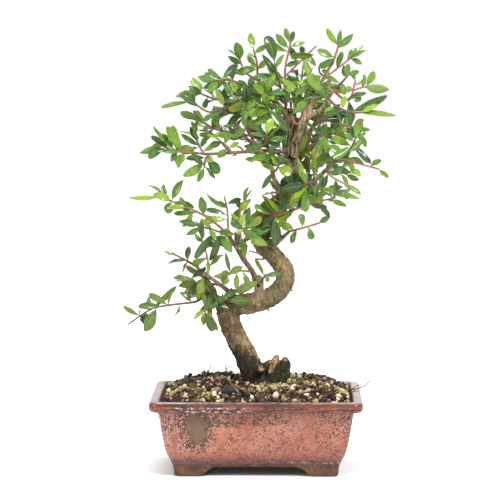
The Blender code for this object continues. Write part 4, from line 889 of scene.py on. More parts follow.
# %% Relief of the wood
KNOT, SCAR = np.array([1.4, -13.2, 176]), np.array([4.6, -18.0, 97.5])
thick = np.clip((girth - 1.5) / 6, 0, 1)
lift = 0.30 * thick * plane_waves(points, 18, 1) + 0.18 * thick * plane_waves(points, 6, 2)
lift += 0.10 * (0.3 + thick) * plane_waves(points, 2.6, 3)
lift += 0.5 * thick * np.clip(plane_waves(points, 3.0, 4) - 1.1, 0, 1.2)
dead = near(points, (36, 1, 294), (31, 0, 342), 9) + near(points, (36, -6, 303), (53, -12, 362), 7)
dead = np.clip(dead * 1.3, 0, 1)
low = np.clip((112 - points[:, 2]) / 16, 0, 1)
furrows = low * plane_waves(points * [1, 1, 0.3], 4.0, 5)
furrows += dead * (1.3 * plane_waves(points * [1, 1, 0.12], 2.8, 8) + 0.4)
lift -= (0.36 * thick + 0.5 * dead) * np.clip(furrows, -0.6, 1.6)
knot = np.linalg.norm(points - KNOT, axis=1)
lift += 0.9 * bell(knot, 3.0, 1.1) - 1.9 * bell(knot, 0, 1.7)
scar = np.linalg.norm((points - SCAR) * [1, 0.5, 0.8], axis=1)
lift += 0.5 * bell(scar, 3.8, 1.0) - 1.0 * bell(scar, 0, 2.4)
lift += 0.7 * plane_waves(points * [1, 0.4, 0.4], 1.9, 9) * bell(scar, 0, 4.0)
lift -= 1.1 * near(points, (13.5, -13, 96), (18, -13, 103), 2.2)
lift -= 1.6 * near(points, (21, -9, 92), (22, -6, 103), 2.4)
points = points + normals * lift[:, None]
print("relief from", round(lift.min(), 2), "to", round(lift.max(), 2), "mm")

# %% [markdown]
# ## Bark
# The bark is olive brown, mottled with yellow lichen and pale scales, with small dark warts. It is
# nearly black and wet where it leaves the soil, and that black reaches higher on the left side as
# painted shade. It is green with moss at the cut lobes. Young arms are smoother, and the dead
# leaders are bleached and hollow. The elbow's dark mottle on its left side is partly painted shade,
# the hollows, furrows and gaps between dead strands are painted near black as shade, and the
# underside of the level arm is painted paler as light from below. The mesh carries each branch's
# girth and where it is dead, pale, cut or hollow, and the rest reads the place.

# %% Bark finish
bark = Finish("bark_mottled", Roughness=0.85, Specular_IOR_Level=0.25)
height = bark.axis("Z")
across = bark.axis("X")
thick_wood = bark.given("girth").step(1.6, 5.0)
cloud = bark.noise(9.0, 4.0, 0.6)
fine = bark.noise(1.5, 3.0, 0.7)
streak = bark.noise(2.4, 3.0, 0.6, place=bark.stretched(1.0, 1.0, 0.32))
brown = bark.ramp(cloud * 0.45 + streak * 0.35 + fine * 0.20,
                  (0.34, (0.026, 0.019, 0.011)), (0.44, (0.080, 0.058, 0.030)),
                  (0.53, (0.155, 0.115, 0.060)), (0.66, (0.310, 0.225, 0.135)))
lichen = bark.noise(5.0, 3.0, 0.7, 0.4, bark.moved(3.0, 6.0)).step(0.46, 0.60) * thick_wood
lichen = lichen * fine.step(0.47, 0.60) * height.step(98.0, 124.0)
scales = bark.noise(2.6, 2.0, 0.6).step(0.58, 0.68) * (1 - lichen)
elbow = bark.noise(7.0).step(0.36, 0.54) * height.band(112.0, 132.0, 160.0, 182.0)
knee = bark.noise(5.0, 3.0, 0.6).step(0.40, 0.55) * height.band(149.0, 157.0, 176.0, 186.0)
gold = (fine * 0.5 + cloud * 0.5).step(0.42, 0.54) * height.band(97.0, 104.0, 114.0, 126.0)
spots = bark.noise(1.1, 2.0, 0.6).step(0.58, 0.66)
old = bark.layers(brown, (lichen * 0.85, (0.300, 0.205, 0.055)),
                  (scales * 0.5, (0.310, 0.245, 0.160)),
                  # Dark mottle at the elbow, kept to the left side: partly the bark's own mottle,
                  # partly painted shade on that side.
                  (elbow * across.step(-8.0, -22.0) * 0.9, (0.085, 0.042, 0.026)),
                  (knee * across.step(4.0, 12.0) * 0.8, (0.085, 0.080, 0.040)),
                  (gold * across.step(-20.0, -12.0) * 0.6, (0.300, 0.190, 0.050)),
                  # Painted light: the underside of the level arm is paler, as if lit from below.
                  (height.band(139.0, 145.0, 149.0, 156.0) * across.step(-18.0, -8.0) * 0.45,
                   (0.400, 0.270, 0.160)),
                  (spots * 0.85, (0.022, 0.016, 0.010)))
young = bark.mix(streak.step(0.40, 0.60), (0.095, 0.066, 0.036), (0.240, 0.190, 0.110))
young = bark.mix(bark.noise(30.0, 1.0).step(0.50, 0.62) * 0.4, young, (0.170, 0.085, 0.050))
fibre = bark.noise(1.3, 3.0, 0.7, place=bark.stretched(1.0, 1.0, 0.16))
dead_wood = bark.ramp(fibre * 0.7 + cloud * 0.3, (0.38, (0.040, 0.024, 0.014)),
                      (0.46, (0.170, 0.112, 0.060)), (0.60, (0.440, 0.340, 0.205)))
# Lower down, the dead wood turns darker and greyer.
lower_dead_wood = bark.mix(cloud, (0.060, 0.046, 0.026), (0.150, 0.118, 0.070))
dead_wood = bark.mix(height.step(342.0, 322.0) * 0.55, dead_wood, lower_dead_wood)
pale = (bark.given("pale") + (streak - 0.5) * 0.6).step(0.25, 0.60)
pale_wood = bark.mix(fine, (0.170, 0.120, 0.082), (0.330, 0.255, 0.185))
# Near black towards the soil: wet bark, and painted shade where the black reaches higher on the
# left side.
wet_and_left_shade = height + across.low(2.0) * 0.6 + (streak - 0.5) * 26.0 + (cloud - 0.5) * 14.0
green = bark.noise(4.5, 3.0, 0.7).step(0.42, 0.56) * height.step(103.0, 96.0)
cut = (bark.given("cut") + (fine - 0.5) * 1.1).step(0.30, 0.55)
cut_wood = bark.ramp(fine * 0.6 + streak * 0.4, (0.38, (0.045, 0.024, 0.012)),
                     (0.48, (0.190, 0.110, 0.050)), (0.60, (0.400, 0.290, 0.175)))
# Painted shade: the hollows, furrows and gaps between dead strands are painted near black.
hollow = (bark.given("hollow") + (fine - 0.5) * 0.5).step(0.30, 0.75)
colour = bark.layers(young, (thick_wood, old),
                     (bark.given("dead").step(0.2, 0.7) * 0.9, dead_wood),
                     (pale * 0.85, pale_wood),
                     (wet_and_left_shade.step(114.0, 98.0) * 0.95, (0.011, 0.008, 0.006)),
                     (green * across.step(16.0, 22.0) * 0.9, (0.022, 0.032, 0.010)),
                     (cut, cut_wood),
                     # Near black painted shade in the hollows.
                     (hollow * 0.95, (0.010, 0.006, 0.004)))
relief = fine * 0.5 + bark.noise(0.7, 2.0, 0.6) * 0.3 - spots * 0.3
bark_finish = bark.show(Base_Color=colour, Roughness=0.92 - wet_and_left_shade.step(104.0, 84.0) * 0.30,
                        Normal=bark.bump(relief, 0.5))
print("bark nodes:", len(bark.tree.nodes))

# %% Wood with its bark
knee_band = (points[:, 2] > 155) & (points[:, 2] < 178)
cuts = (1.5 * near(points, (13, -13, 95), (18, -13, 105), 2.4)
        + 0.9 * near(points, (4.6, -18.5, 97.5), (4.6, -18.5, 97.5), 3.4)
        + 0.6 * near(points, (23, -7, 104), (29, -6, 105), 3.0))
# Where the painted shade of hollows goes: the knot hole, the hollow between the lobes, the gaps
# between dead strands and the furrows.
hollow_shade = (1.4 * near(points, (1.4, -13.4, 176), (1.4, -13.0, 176), 1.6)
           + 1.3 * near(points, (21, -9, 94), (22, -6, 104), 2.6)
           + dead * np.clip((0.97 - out) / 0.25, 0, 1)
           + 0.7 * (dead + 0.8 * low) * np.clip(furrows - 0.3, 0, 1))
values = {"girth": girth, "dead": dead, "cut": np.clip(cuts, 0, 1) * 0.85,
          "pale": 0.9 * near(points, (2, -5, 160), (2, -10, 174), 7.0) * knee_band
                  + 0.8 * near(points, (-27, -12, 171), (-55, -20, 193), 4.0),
          "hollow": np.clip(hollow_shade, 0, 1)}
wood = mesh_piece("wood", [bark_finish], points, faces, ["trunk"], values=values)
print("wood:", [round(v, 3) for v in wood.dimensions])

# %% [markdown]
# ## More leaves than the solids have
# The solid sprays carry the leaves that shape the outline. The real crown is fuller. A second
# seeded rule fills it: short shoots leave the branches, a draw starts on a twig, leans out of it,
# and stays only if it is clear of everything before it. Some draws aim at squares where the crown
# is dense, and the rest keep out of the bright gaps between its pads.

# %% Where the added leaves go
# Squares of the crown by the height of their top: the left edge, and how many leaves to aim.
FILLS = {
    408: [(3, 1), (41, 1)], 389: [(-35, 1), (-16, 1), (3, 2)],
    370: [(-54, 2), (-35, 3), (-16, 3), (3, 4), (22, 3), (41, 3), (79, 1)],
    351: [(-16, 3), (3, 3), (22, 2), (60, 2), (79, 1)],
    332: [(-92, 2), (3, 2), (41, 1), (-16, 1), (22, 1)],
    313: [(-92, 2), (-73, 3), (3, 2), (41, 4), (60, 7), (79, 2)], 293: [(22, 2), (41, 2)],
    274: [(22, 1), (41, 1), (-92, 1)],
    255: [(-73, 3), (-92, 1), (-35, 1), (-16, 3), (3, 3), (22, 4)],
    236: [(-54, 2), (-35, 4), (-16, 3), (3, 4)], 198: [(-54, 2)], 179: [(-54, 5), (-35, 4)],
    159: [(-111, 2), (-54, 4)], 178: [(-23, 5)]}
# Bright gaps: left, top, right and bottom.
CLEAR = [(-57, 289, 18, 262), (-76, 372, -54, 312), (-54, 332, -35, 313), (-35, 313, -16, 289),
         (79, 293, 120, 252), (60, 274, 79, 252), (60, 392, 100, 370), (98, 351, 120, 332),
         (20, 430, 44, 406), (22, 217, 130, 120), (-95, 238, -73, 215), (-120, 420, -76, 330),
         (-92, 217, -73, 179), (-73, 217, -54, 198), (-35, 198, -16, 179), (-16, 217, 3, 198),
         (22, 236, 41, 217), (41, 255, 60, 236), (41, 389, 60, 370), (-92, 293, -73, 274),
         (60, 236, 79, 217), (-16, 408, 3, 396), (-5, 190, 14, 158), (3, 214, 22, 190),
         (-34, 170, 0, 100)]
# Large leaves: base x and z, tip x and z, and width over length.
LONG_LEAVES = [(54, 272, 24, 269, 0.36), (54, 272, 31, 254, 0.33), (52, 272, 46, 248, 0.3),
               (18, 268, 23, 245, 0.3), (57, 270, 98, 258, 0.13), (57, 270, 62, 252, 0.4),
               (60, 354, 48, 377, 0.4), (-11, 314, -40, 319, 0.28), (12, 347, 29, 324, 0.25),
               (54, 272, 34, 262, 0.34)]
# Shoots: how many, and from which share of the branch on.
SHOOTS = {"leader_left": (8, 0.2), "leader_stub": (5, 0.2), "leader_right": (6, 0.2),
          "stem_left": (4, 0.2), "arm_left": (4, 0.3), "arm_up_left": (5, 0.2),
          "arm_dark": (4, 0.2), "arm_top": (5, 0.2), "arm_right": (3, 0.3),
          "arm_low_right": (5, 0.3), "knee_branch": (3, 0.4), "knee_fork": (2, 0.3),
          "low_branch": (4, 0.4), "spur_right": (2, 0.3), "cut_spur": (3, 0.2),
          "arm_back_high": (3, 0.3), "arm_back_right": (3, 0.3), "arm_back_low": (3, 0.3),
          "arm_back_mid": (3, 0.3), "elbow_stub": (2, 0.3), "trunk": (16, 0.66)}
print("leaves to aim:", sum(count for row in FILLS.values() for _, count in row),
      "shoots:", sum(count for count, _ in SHOOTS.values()))

# %% Draws of an added leaf
FILL_SIZE = 19.0
LOW_TWIG = 0.25
TWIG_COLUMNS = 10
CROWN_MIDDLE = 10.0
COVER_REACH, COVER_DEPTH, CAMERA_DOWN_SLOPE = 5.5, 4.0, 0.09


def skin_tree(shells):
    """A search tree over shells, for finding crossings."""
    faces, corners, start = [], [], 0
    for shell in shells:
        rows, columns = shell.shape[:2]
        faces.extend((shell_faces(rows, columns) + start).tolist())
        corners.extend(shell.reshape(-1, 3).tolist())
        start += rows * columns
    return BVHTree.FromPolygons(corners, faces)


def twig_shells(routes):
    """The spray's twigs, their radius falling from TWIG_ROOT to TWIG_TIP with swollen nodes."""
    shells = []
    for number, route in enumerate(routes):
        fine_route = smooth_route(route, 2)
        share = np.linspace(0, 1, len(fine_route))
        radii = (1.0 if number else TWIG_ROOT) * (1 - share) + TWIG_TIP * share
        radii *= 0.9 + 0.12 * np.maximum(np.sin(2 * np.pi * (3.5 * share + 0.3)), 0) ** 4
        shells.append(ring_tube(fine_route, radii, TWIG_COLUMNS))
    return shells


def in_gap(leaf):
    """Whether a leaf would be seen in one of the bright gaps."""
    share = np.linspace(0, 1, 5)[:, None]
    x, _, z = (leaf["base"] * (1 - share) + leaf["tip"] * share).T
    return any(((x > left) & (x < right) & (z > bottom) & (z < top)).any()
               for left, top, right, bottom in CLEAR)


def hidden(leaf):
    """Whether a leaf that lies nearer covers this one's middle as seen from the front."""
    middles = np.array([0.5 * (other["base"] + other["tip"]) for spray in sprays.values()
                        for other in spray["leaves"]])
    x, y, z = (middles - 0.5 * (leaf["base"] + leaf["tip"])).T
    return ((np.hypot(x, z + CAMERA_DOWN_SLOPE * y) < COVER_REACH) & (y < -COVER_DEPTH)).any()


def free_leaf(rng, routes):
    """A leaf from a random place on a random twig, leaning out by 30 to 65 degrees."""
    route = routes[rng.integers(len(routes))]
    index = int(rng.integers(max(2, int(LOW_TWIG * len(route))), len(route) - 1))
    forward = unit(route[index + 1] - route[index - 1])
    out = unit(np.cross(forward, rng.normal(size=3)))
    lean = math.radians(rng.uniform(30, 65))
    heading = unit(math.cos(lean) * forward + math.sin(lean) * out + np.array([0, 0, 0.12]))
    length = rng.uniform(14, 27)
    return dict(base=route[index], tip=route[index] + heading * length,
                facing=turned(rng, (0.0, -0.5, 0.6), 0.55), width=length * rng.uniform(0.25, 0.40))


def aimed_leaf(rng, square):
    """A leaf whose middle lies in a square seen from the front, from a twig point 6.5 to 14 mm
    from it. It takes one of the nearer half of these points, so that it lies in front."""
    middle = np.array(square) + rng.uniform(0, FILL_SIZE, 2) * [1, -1]
    seen = np.hypot(places[:, 0] - middle[0], places[:, 2] - middle[1])
    fits = np.flatnonzero((seen > 6.5) & (seen < 14))
    if not len(fits):
        return None
    fits = fits[np.argsort(places[fits, 1])][: len(fits) // 2 + 1]
    base = places[fits[rng.integers(len(fits))]]
    tip = 2 * np.array([middle[0], base[1] + rng.uniform(-5, 3), middle[1]]) - base
    facing = turned(rng, (0.0, -0.9, 0.4), 0.4)
    return dict(base=base, tip=tip, facing=facing,
                width=np.linalg.norm(tip - base) * rng.uniform(0.27, 0.40))


def long_leaf(rng, shape):
    """A large leaf between two places seen from the front. It starts at the foremost twig point
    within 6 mm of the first."""
    base_x, base_z, tip_x, tip_z, slim = shape
    away = np.hypot(places[:, 0] - base_x, places[:, 2] - base_z)
    base = places[np.argmin(places[:, 1] + 1000 * (away > max(6, away.min())))]
    tip = np.array([tip_x, base[1] + rng.uniform(-12, 2), tip_z])
    return dict(base=base, tip=tip, width=np.linalg.norm(tip - base) * slim,
                facing=turned(rng, (0.0, -0.8, 0.5), 0.3))


def short_shoot(rng, name, first):
    """A twig of 5 to 10 mm that leaves a branch at a random place and bends along it."""
    route = smooth_route(WOOD[name], 4)
    index = int(rng.integers(int(first * len(route)), len(route) - 1))
    along = unit(route[index + 1, :3] - route[index - 1, :3])
    out = unit(np.cross(along, rng.normal(size=3)))
    if name == "trunk":
        out[1] = -abs(out[1])
    foot = route[index, :3] + 0.4 * route[index, 3] * out
    reach = route[index, 3] + rng.uniform(4, 9)
    return smooth_route([foot, foot + 0.5 * reach * out, foot + reach * (out + 0.5 * along)], 4)


def wished_leaf(rng, kind, goal):
    """A draw of the given kind and the spray that it grows on, or nothing if none is found."""
    if kind in ("long", "aimed"):
        leaf = long_leaf(rng, goal) if kind == "long" else aimed_leaf(rng, goal)
        if leaf is None:
            return None
        return leaf, names[owners[np.argmin(np.linalg.norm(places - leaf["base"], axis=1))]]
    owner = "shoots" if kind == "shoots" else goal[rng.integers(len(goal))]
    leaf = free_leaf(rng, sprays[owner]["routes"])
    if kind == "back":
        away = [0.4 * np.sign(leaf["tip"][0] - CROWN_MIDDLE), 0.4, 0]
        leaf["facing"] = unit(leaf["facing"] * [1, -1, 1] + away)
        if not hidden(leaf):
            return None
    return leaf, owner


rng = np.random.default_rng(2024)
shoots = [short_shoot(rng, name, first) for name, (count, first) in SHOOTS.items()
          for _ in range(count)]
sprays["shoots"] = {"routes": shoots, "leaves": []}
names = list(sprays)
places = np.vstack([route[3:] for spray in sprays.values() for route in spray["routes"]])
owners = np.concatenate([np.full(len(route) - 3, number)
                         for number, spray in enumerate(sprays.values())
                         for route in spray["routes"]])
print("places on twigs:", len(places))

# %% Fill the crown
MORE_LEAVES, SHOOT_LEAVES, BACK_LEAVES = 36, 60, 150
FILL_DRAWS = 24
CAREFUL_DRAWS = {"long": 0, "aimed": 12}
LIMIT = np.array([126.0, 72.0, 416.0])
PACKED_FOOT, ADDED_FOOT = 3, 4
EDGE_ON = 0.85
habit = np.random.default_rng(77)
shells = [shell for spray in sprays.values() for shell in twig_shells(spray["routes"])]
for spray in sprays.values():
    for leaf in spray["leaves"]:
        draw_values(leaf, habit, HABITS)
        shells.append(leaf_shell(leaf)[PACKED_FOOT:])
taken = [skin_tree(shells), skin_tree(wood_shells)]
backs = [name for name in names if name.startswith("back_")] + ["shoots"] * 12
wishes = [("long", shape) for shape in LONG_LEAVES]
wishes += [("aimed", (x, z)) for z, row in FILLS.items() for x, count in row
           for _ in range(count)]
wishes += [("shoots", None)] * SHOOT_LEAVES + [("any", names)] * MORE_LEAVES
wishes += [("back", backs)] * BACK_LEAVES
more_count = 0
for kind, goal in wishes:
    for draw in range(FILL_DRAWS):
        found = wished_leaf(rng, kind, goal)
        if found is None:
            continue
        leaf, owner = found
        draw_values(leaf, rng, {**BENDS, **HABITS})
        heading = unit(leaf["tip"] - leaf["base"])
        gap = draw < CAREFUL_DRAWS.get(kind, FILL_DRAWS) and in_gap(leaf)
        if gap or abs(heading @ leaf["facing"]) > EDGE_ON or (abs(leaf["tip"]) > LIMIT).any():
            continue
        tree = skin_tree([leaf_shell(leaf)[ADDED_FOOT:]])
        if any(tree.overlap(other) for other in taken):
            continue
        taken.append(tree)
        sprays[owner]["leaves"].append(leaf)
        more_count += 1
        break
print("leaves added:", more_count, "in all:", packed_count + more_count)

# %% [markdown]
# ## Leaf and twig finishes
# The blades are glossy and mid to dark green, paler along the rib and its side veins, with a
# painted highlight as a pale band along the edge. A few leaves are a fresh yellow green, a few have
# orange tips, and the leaves in the thick of the crown get painted shade as a darker tone. Each
# leaf carries its tone, with that painted shade in it, how young it is, how scorched its tip is and
# which side is the underside. The veins follow the leaf's own chart. Twigs are brown, and the
# newest shoots are rose red.

# %% Leaf finish
leaf_look = Finish("leaf_glossy", Specular_IOR_Level=0.2, Coat_Roughness=0.14)
along, across = leaf_look.chart()
side = (across - 0.5).size() * 2
tone, young, scorch = (leaf_look.given(name) for name in ("tone", "young", "scorch"))
under = leaf_look.given("under").step(0.3, 0.7)
rib = side.step(0.12, 0.02)
veins = (along * 62.0 - side * 9.0).wave().step(0.40, 0.98) * side.step(1.0, 0.6)
patch = leaf_look.noise(4.5, 3.0, 0.6)
mixed = tone * 0.72 + patch * 0.40 + leaf_look.noise(1.6, 2.0, 0.6) * 0.14 - 0.12
green = leaf_look.ramp(mixed, (0.15, (0.006, 0.030, 0.005)), (0.38, (0.032, 0.100, 0.009)),
                       (0.62, (0.094, 0.195, 0.010)), (0.92, (0.205, 0.310, 0.018)))
olive = leaf_look.mix(tone, (0.026, 0.040, 0.012), (0.150, 0.165, 0.035))
pale_under = leaf_look.mix(tone, (0.060, 0.115, 0.030), (0.150, 0.205, 0.060))
fresh = leaf_look.mix(patch, (0.090, 0.200, 0.004), (0.210, 0.300, 0.008))
scorched = (along * 0.8 + side * 0.25 + patch * 0.25).step(0.72, 0.98) * scorch
colour = leaf_look.layers(green, (leaf_look.axis("Z").step(228.0, 196.0) * 0.5, olive),
                          (under * 0.75, pale_under),
                          (young, fresh),
                          (veins * 0.16, (0.160, 0.250, 0.030)),
                          (rib * 0.45, (0.220, 0.280, 0.060)),
                          # Painted highlight: a pale band along the leaf's edge.
                          (side.step(0.80, 1.0) * 0.35, (0.230, 0.280, 0.070)),
                          (scorched, (0.300, 0.130, 0.018)),
                          (along.step(0.15, 0.07), (0.170, 0.100, 0.035)))
relief = veins * 0.55 + rib * 0.8 + leaf_look.noise(2.0) * 1.3
leaf_finish = leaf_look.show(
    Base_Color=colour, Roughness=0.24 + young * 0.12 + patch * 0.16 + under * 0.25,
    Coat_Weight=0.50 - young * 0.22 - under * 0.22, Normal=leaf_look.bump(relief, 0.24))
print("leaf nodes:", len(leaf_look.tree.nodes))

# %% Twig finish
twig_look = Finish("twig_bark", Roughness=0.6, Specular_IOR_Level=0.35)
along = twig_look.chart()[0]
rosy = twig_look.given("young")
grain = twig_look.noise(1.3, 3.0, 0.6)
brown = twig_look.ramp(grain, (0.32, (0.110, 0.056, 0.026)), (0.60, (0.300, 0.200, 0.100)))
aged = twig_look.mix(grain.step(0.35, 0.62), (0.055, 0.020, 0.013), (0.170, 0.085, 0.052))
red = twig_look.ramp(grain, (0.30, (0.130, 0.036, 0.022)), (0.65, (0.310, 0.118, 0.076)))
colour = twig_look.layers(brown, (rosy.step(0.14, 0.10), aged),
                          ((rosy * 1.6 + along * 0.5 - 0.55).step(0.0, 0.6), red),
                          (along.step(0.975, 0.99), (0.050, 0.025, 0.015)))
twig_finish = twig_look.show(Base_Color=colour, Normal=twig_look.bump(grain, 0.15))
print("twig nodes:", len(twig_look.tree.nodes))

# %% Sprays
UNDER = (np.sin(LEAF_TURNS) < -0.1)[None]
TUBE_VALUES = {"tone": 0.5, "scorch": 0.0, "under": 0.0}
# Spots seen from the front where leaves are fresh, get painted shade or are scorched, and how rosy
# twigs are.
FRESH = [(25, 281), (39, 265), (12, 349), (20, 325), (-47, 149), (-41, 192), (22, 236), (47, 372),
         (28, 244), (84, 322)]
SHADED = [(-30, 346), (38, 269), (70, 327), (-54, 212), (-33, 164), (-2, 318), (-105, 138)]
SCORCHED = [(-46, 378), (-76, 177), (104, 327), (-45, 322), (-105, 137), (-25, 343)]
ROSY = {"mid_left": 0.9, "red_branch": 1.0, "left_arm_end": 0.7, "right_red": 0.8, "top_red": 0.6,
        "top_pink": 0.8, "low_right_red": 0.8, "mid_up": 0.8, "right_mid": 0.4, "top_end": 0.4,
        "top_right": 0.4, "low_left": 0.06, "mid_right": 0.35, "top_left": 0.5}


def nearness(leaf, spots, reach):
    """1 where the leaf's middle, seen from the front, lies within reach of one of the spots."""
    middle = 0.5 * (leaf["base"] + leaf["tip"])[[0, 2]]
    return float(min(np.linalg.norm(middle - np.array(spots), axis=1)) < reach)


rng = np.random.default_rng(99)
for name, spray in sprays.items():
    shells = []
    for shell in twig_shells(spray["routes"]):
        values = {"young": ROSY.get(name, 0.25 * rng.random()), **TUBE_VALUES}
        shells.append((shell, 1, tube_chart(*shell.shape[:2]), values))
    for leaf in spray["leaves"]:
        # Painted shade: leaves towards the middle of the crown and near the SHADED spots get a
        # darker tone.
        inner = np.clip(1.2 - abs(leaf["tip"][0] - CROWN_MIDDLE) / 120, 0, 1) * rng.random()
        inner = inner + 2.2 * nearness(leaf, SHADED, 15.0)
        tone = np.clip(rng.normal(0.57, 0.28) - 0.15 * inner, 0, 1)
        young = max(nearness(leaf, FRESH, 5.0) * rng.uniform(0.6, 1.0),
                    float(rng.random() < 0.025) * 0.6)
        scorched = max(nearness(leaf, SCORCHED, 5.0) * 0.9, float(rng.random() < 0.03) * 0.6)
        values = {"young": young, "tone": tone, "scorch": scorched, "under": UNDER}
        shells.append((leaf_shell(leaf), 0, leaf_chart(), values))
    packed = [] if name == "shoots" else ["spray_" + name]
    shell_piece("leafy_" + name, [leaf_finish, twig_finish], shells, packed)
print("sprays:", len(sprays), "leaves:", sum(len(spray["leaves"]) for spray in sprays.values()))

# %% [markdown]
# ## Pot
# The pot is one fired piece: a tapering body with a thick rim, and four cloud feet with arches
# between them. It could be cut from blocks, but cut edges are too sharp for fired clay. Here one
# rounded rectangle is carried up the outside, over the rim and down the inside, and the lowest rows
# ride up over each arch. Only the two drain holes are cut.

# %% Pot surface
POT_HALF = (100.0, 75.0)
# The wall from the foot over the rim to the inside: inset from the outline, and height.
POT_PROFILE = np.array([
    (22.8, 1.2), (22.0, 9.0), (21.2, 11.4), (19.6, 15.0), (15.4, 23.0), (12.4, 38.0), (8.7, 61.0),
    (7.4, 62.7), (2.6, 63.1), (0.7, 64.6), (0.0, 67.0), (0.0, 69.6), (0.8, 71.8), (3.0, 72.9),
    (5.4, 73.0), (8.0, 72.6), (9.6, 71.2), (10.6, 67.5), (13.6, 63.0), (15.8, 57.0), (19.4, 38.0),
    (22.6, 23.0), (26.0, 16.0)])
# The lower edge over the arches: distance from the pot's middle, and height.
ARCH_X = np.array([
    (36.5, 9), (40, 8.4), (43.4, 6.9), (46, 4.9), (48.4, 2.6), (51.8, 0.9), (54.5, 0)])
ARCH_Y = np.array([
    (17, 9), (20, 8.4), (22.8, 6.9), (25, 4.9), (27.2, 2.6), (30.2, 0.9), (32.5, 0)])
FOOT_EDGE = [(24.6, 0.0), (23.5, 0.25), (23.0, 0.8)]
HOLLOW_HALF = (64.0, 39.0)
UNDERSIDE, FOOT_TOP = 9.0, 13.0
DRAIN_X, DRAIN_RADIUS, DRAIN_COLUMNS, DRAIN_SPAN = 38.0, 7.0, 48, (2.0, 30.0)
CORNER_STEPS, SIDE_STEPS = 10, (96, 72)


def rounded(profile, times):
    """A polyline with its corners cut at about a quarter of each side, again and again."""
    for _ in range(times):
        one = 0.78 * profile[:-1] + 0.22 * profile[1:]
        two = 0.22 * profile[:-1] + 0.78 * profile[1:]
        both = np.stack([one, two], axis=1).reshape(-1, profile.shape[1])
        profile = np.vstack([profile[:1], both[1:-1], profile[-1:]])
    return profile


def tray_outline(half_x, half_y, corner):
    """A rounded rectangle, anticlockwise from above: four quarter circles and straight sides."""
    arcs = []
    for quarter, (sign_x, sign_y) in enumerate([(1, 1), (-1, 1), (-1, -1), (1, -1)]):
        angle = np.radians(90 * (quarter + np.arange(CORNER_STEPS + 1) / CORNER_STEPS))
        arcs.append(np.stack([sign_x * (half_x - corner) + corner * np.cos(angle),
                              sign_y * (half_y - corner) + corner * np.sin(angle)], axis=-1))
    outline = []
    for quarter, arc in enumerate(arcs):
        count = SIDE_STEPS[quarter % 2]
        share = (np.arange(1, count) / count)[:, None]
        outline += [arc, arc[-1] * (1 - share) + arcs[(quarter + 1) % 4][0] * share]
    return np.vstack(outline)


def level_ring(outline, z):
    """An outline seen from above, as a ring at height z."""
    return np.column_stack([outline, np.full(len(outline), z)])


def pot_ring(inset, z):
    """The pot's outline moved inwards, at one height."""
    corner = max(9 - 0.12 * inset, 3.0)
    return level_ring(tray_outline(POT_HALF[0] - inset, POT_HALF[1] - inset, corner), z)


def arch_height(x, y):
    """How high the clay's lower edge rises over the arches between the feet."""
    return np.maximum(np.interp(abs(x), *ARCH_X.T), np.interp(abs(y), *ARCH_Y.T))


def pot_shell():
    """Rows up the outside, over the rim and down the inside. Below FOOT_TOP a row at height z
    moves to b + z (FOOT_TOP - b) / FOOT_TOP, with b the height of the arch there."""
    hollow = tray_outline(*HOLLOW_HALF, 3.0)
    rows = [level_ring(hollow, 0.8), level_ring(hollow * 1.012, 0.0)]
    rows += [pot_ring(inset, z) for inset, z in (*FOOT_EDGE, *rounded(POT_PROFILE, 2))]
    grid = np.array(rows)
    arch = arch_height(grid[..., 0], grid[..., 1])
    lifted = arch + grid[..., 2] * (FOOT_TOP - arch) / FOOT_TOP
    grid[..., 2] = np.where(grid[..., 2] < FOOT_TOP, lifted, grid[..., 2])
    return np.concatenate([level_ring(hollow, UNDERSIDE + 0.6)[None], grid])


pot_grid = pot_shell()
print("pot grid:", pot_grid.shape)

# %% [markdown]
# ## Glaze
# The glaze is salmon red, and it crawled as it melted: brown clay shows in worm-like gaps that are
# few in the middle, close together at the edges, and open into one bare patch at the left of the
# front. The rim is glossier, mauve on top, orange red on its right face and dark brown with pale
# flecks on its left one. The feet are bare brown clay. One noise makes the gaps everywhere, and a
# coverage that depends on the place says how wide they open.

# %% Glaze on the body
glaze = Finish("glaze_crawled", Specular_IOR_Level=0.3, Coat_Roughness=0.08)
x, y, z = (glaze.axis(name) for name in "XYZ")
front = y.step(-48.0, -56.0)


def spot(centre_x, centre_z, half_x, half_z, soft):
    """1 inside an ellipse seen from the front, falling to 0 outside it."""
    wide = (x - centre_x) * (1 / half_x)
    tall = (z - centre_z) * (1 / half_z)
    return (wide * wide + tall * tall).step(1.0 + soft, 1.0 - soft)


crawl = glaze.noise(2.4, 1.5, 0.5, 0.4, glaze.moved(0.7, 3.0))
breaks = glaze.noise(4.5)
drift = glaze.noise(26.0, 3.0, 0.55)
patch = spot(-57.0, 52.0, 9.6, 8.0, 0.85).top(spot(-54.6, 42.5, 7.6, 9.0, 0.85)) * front
ragged = (glaze.noise(2.2, 2.0, 0.6) - 0.5) * 3.4 * (patch * (1 - patch)).step(0.0, 0.12)
bare_patch = (patch + ragged).step(0.42, 0.52)
worn_places = spot(-59.0, 47.0, 22.0, 20.0, 0.7) * 0.46 + spot(-20.0, 57.0, 48.0, 8.0, 0.7) * 0.34
worn_places = worn_places + spot(70.0, 50.0, 20.0, 12.0, 0.7) * 0.16
worn_places = worn_places - spot(-76.0, 34.0, 4.0, 9.0, 0.9) * 0.5
cover = 0.13 + (drift - 0.5) * 0.5 + drift.step(0.48, 0.66) * (1 - front) * 0.3
cover = cover + worn_places * front + patch * 0.8
cover = cover + z.step(22.0, 14.0) * 0.24 + x.size().step(79.0, 88.0) * 0.28
gaps = cover + (breaks - 0.5) * 1.1 - (crawl - 0.5).size() * 7.0
gaps = gaps.step(-0.05, 0.06).top(bare_patch)
redder = (z.step(30.0, 16.0) * 0.5).top(spot(-76.0, 34.0, 3.4, 9.5, 0.95) * front) * 0.8
specks = glaze.noise(1.05, 2.0, 0.6).step(0.55, 0.61)
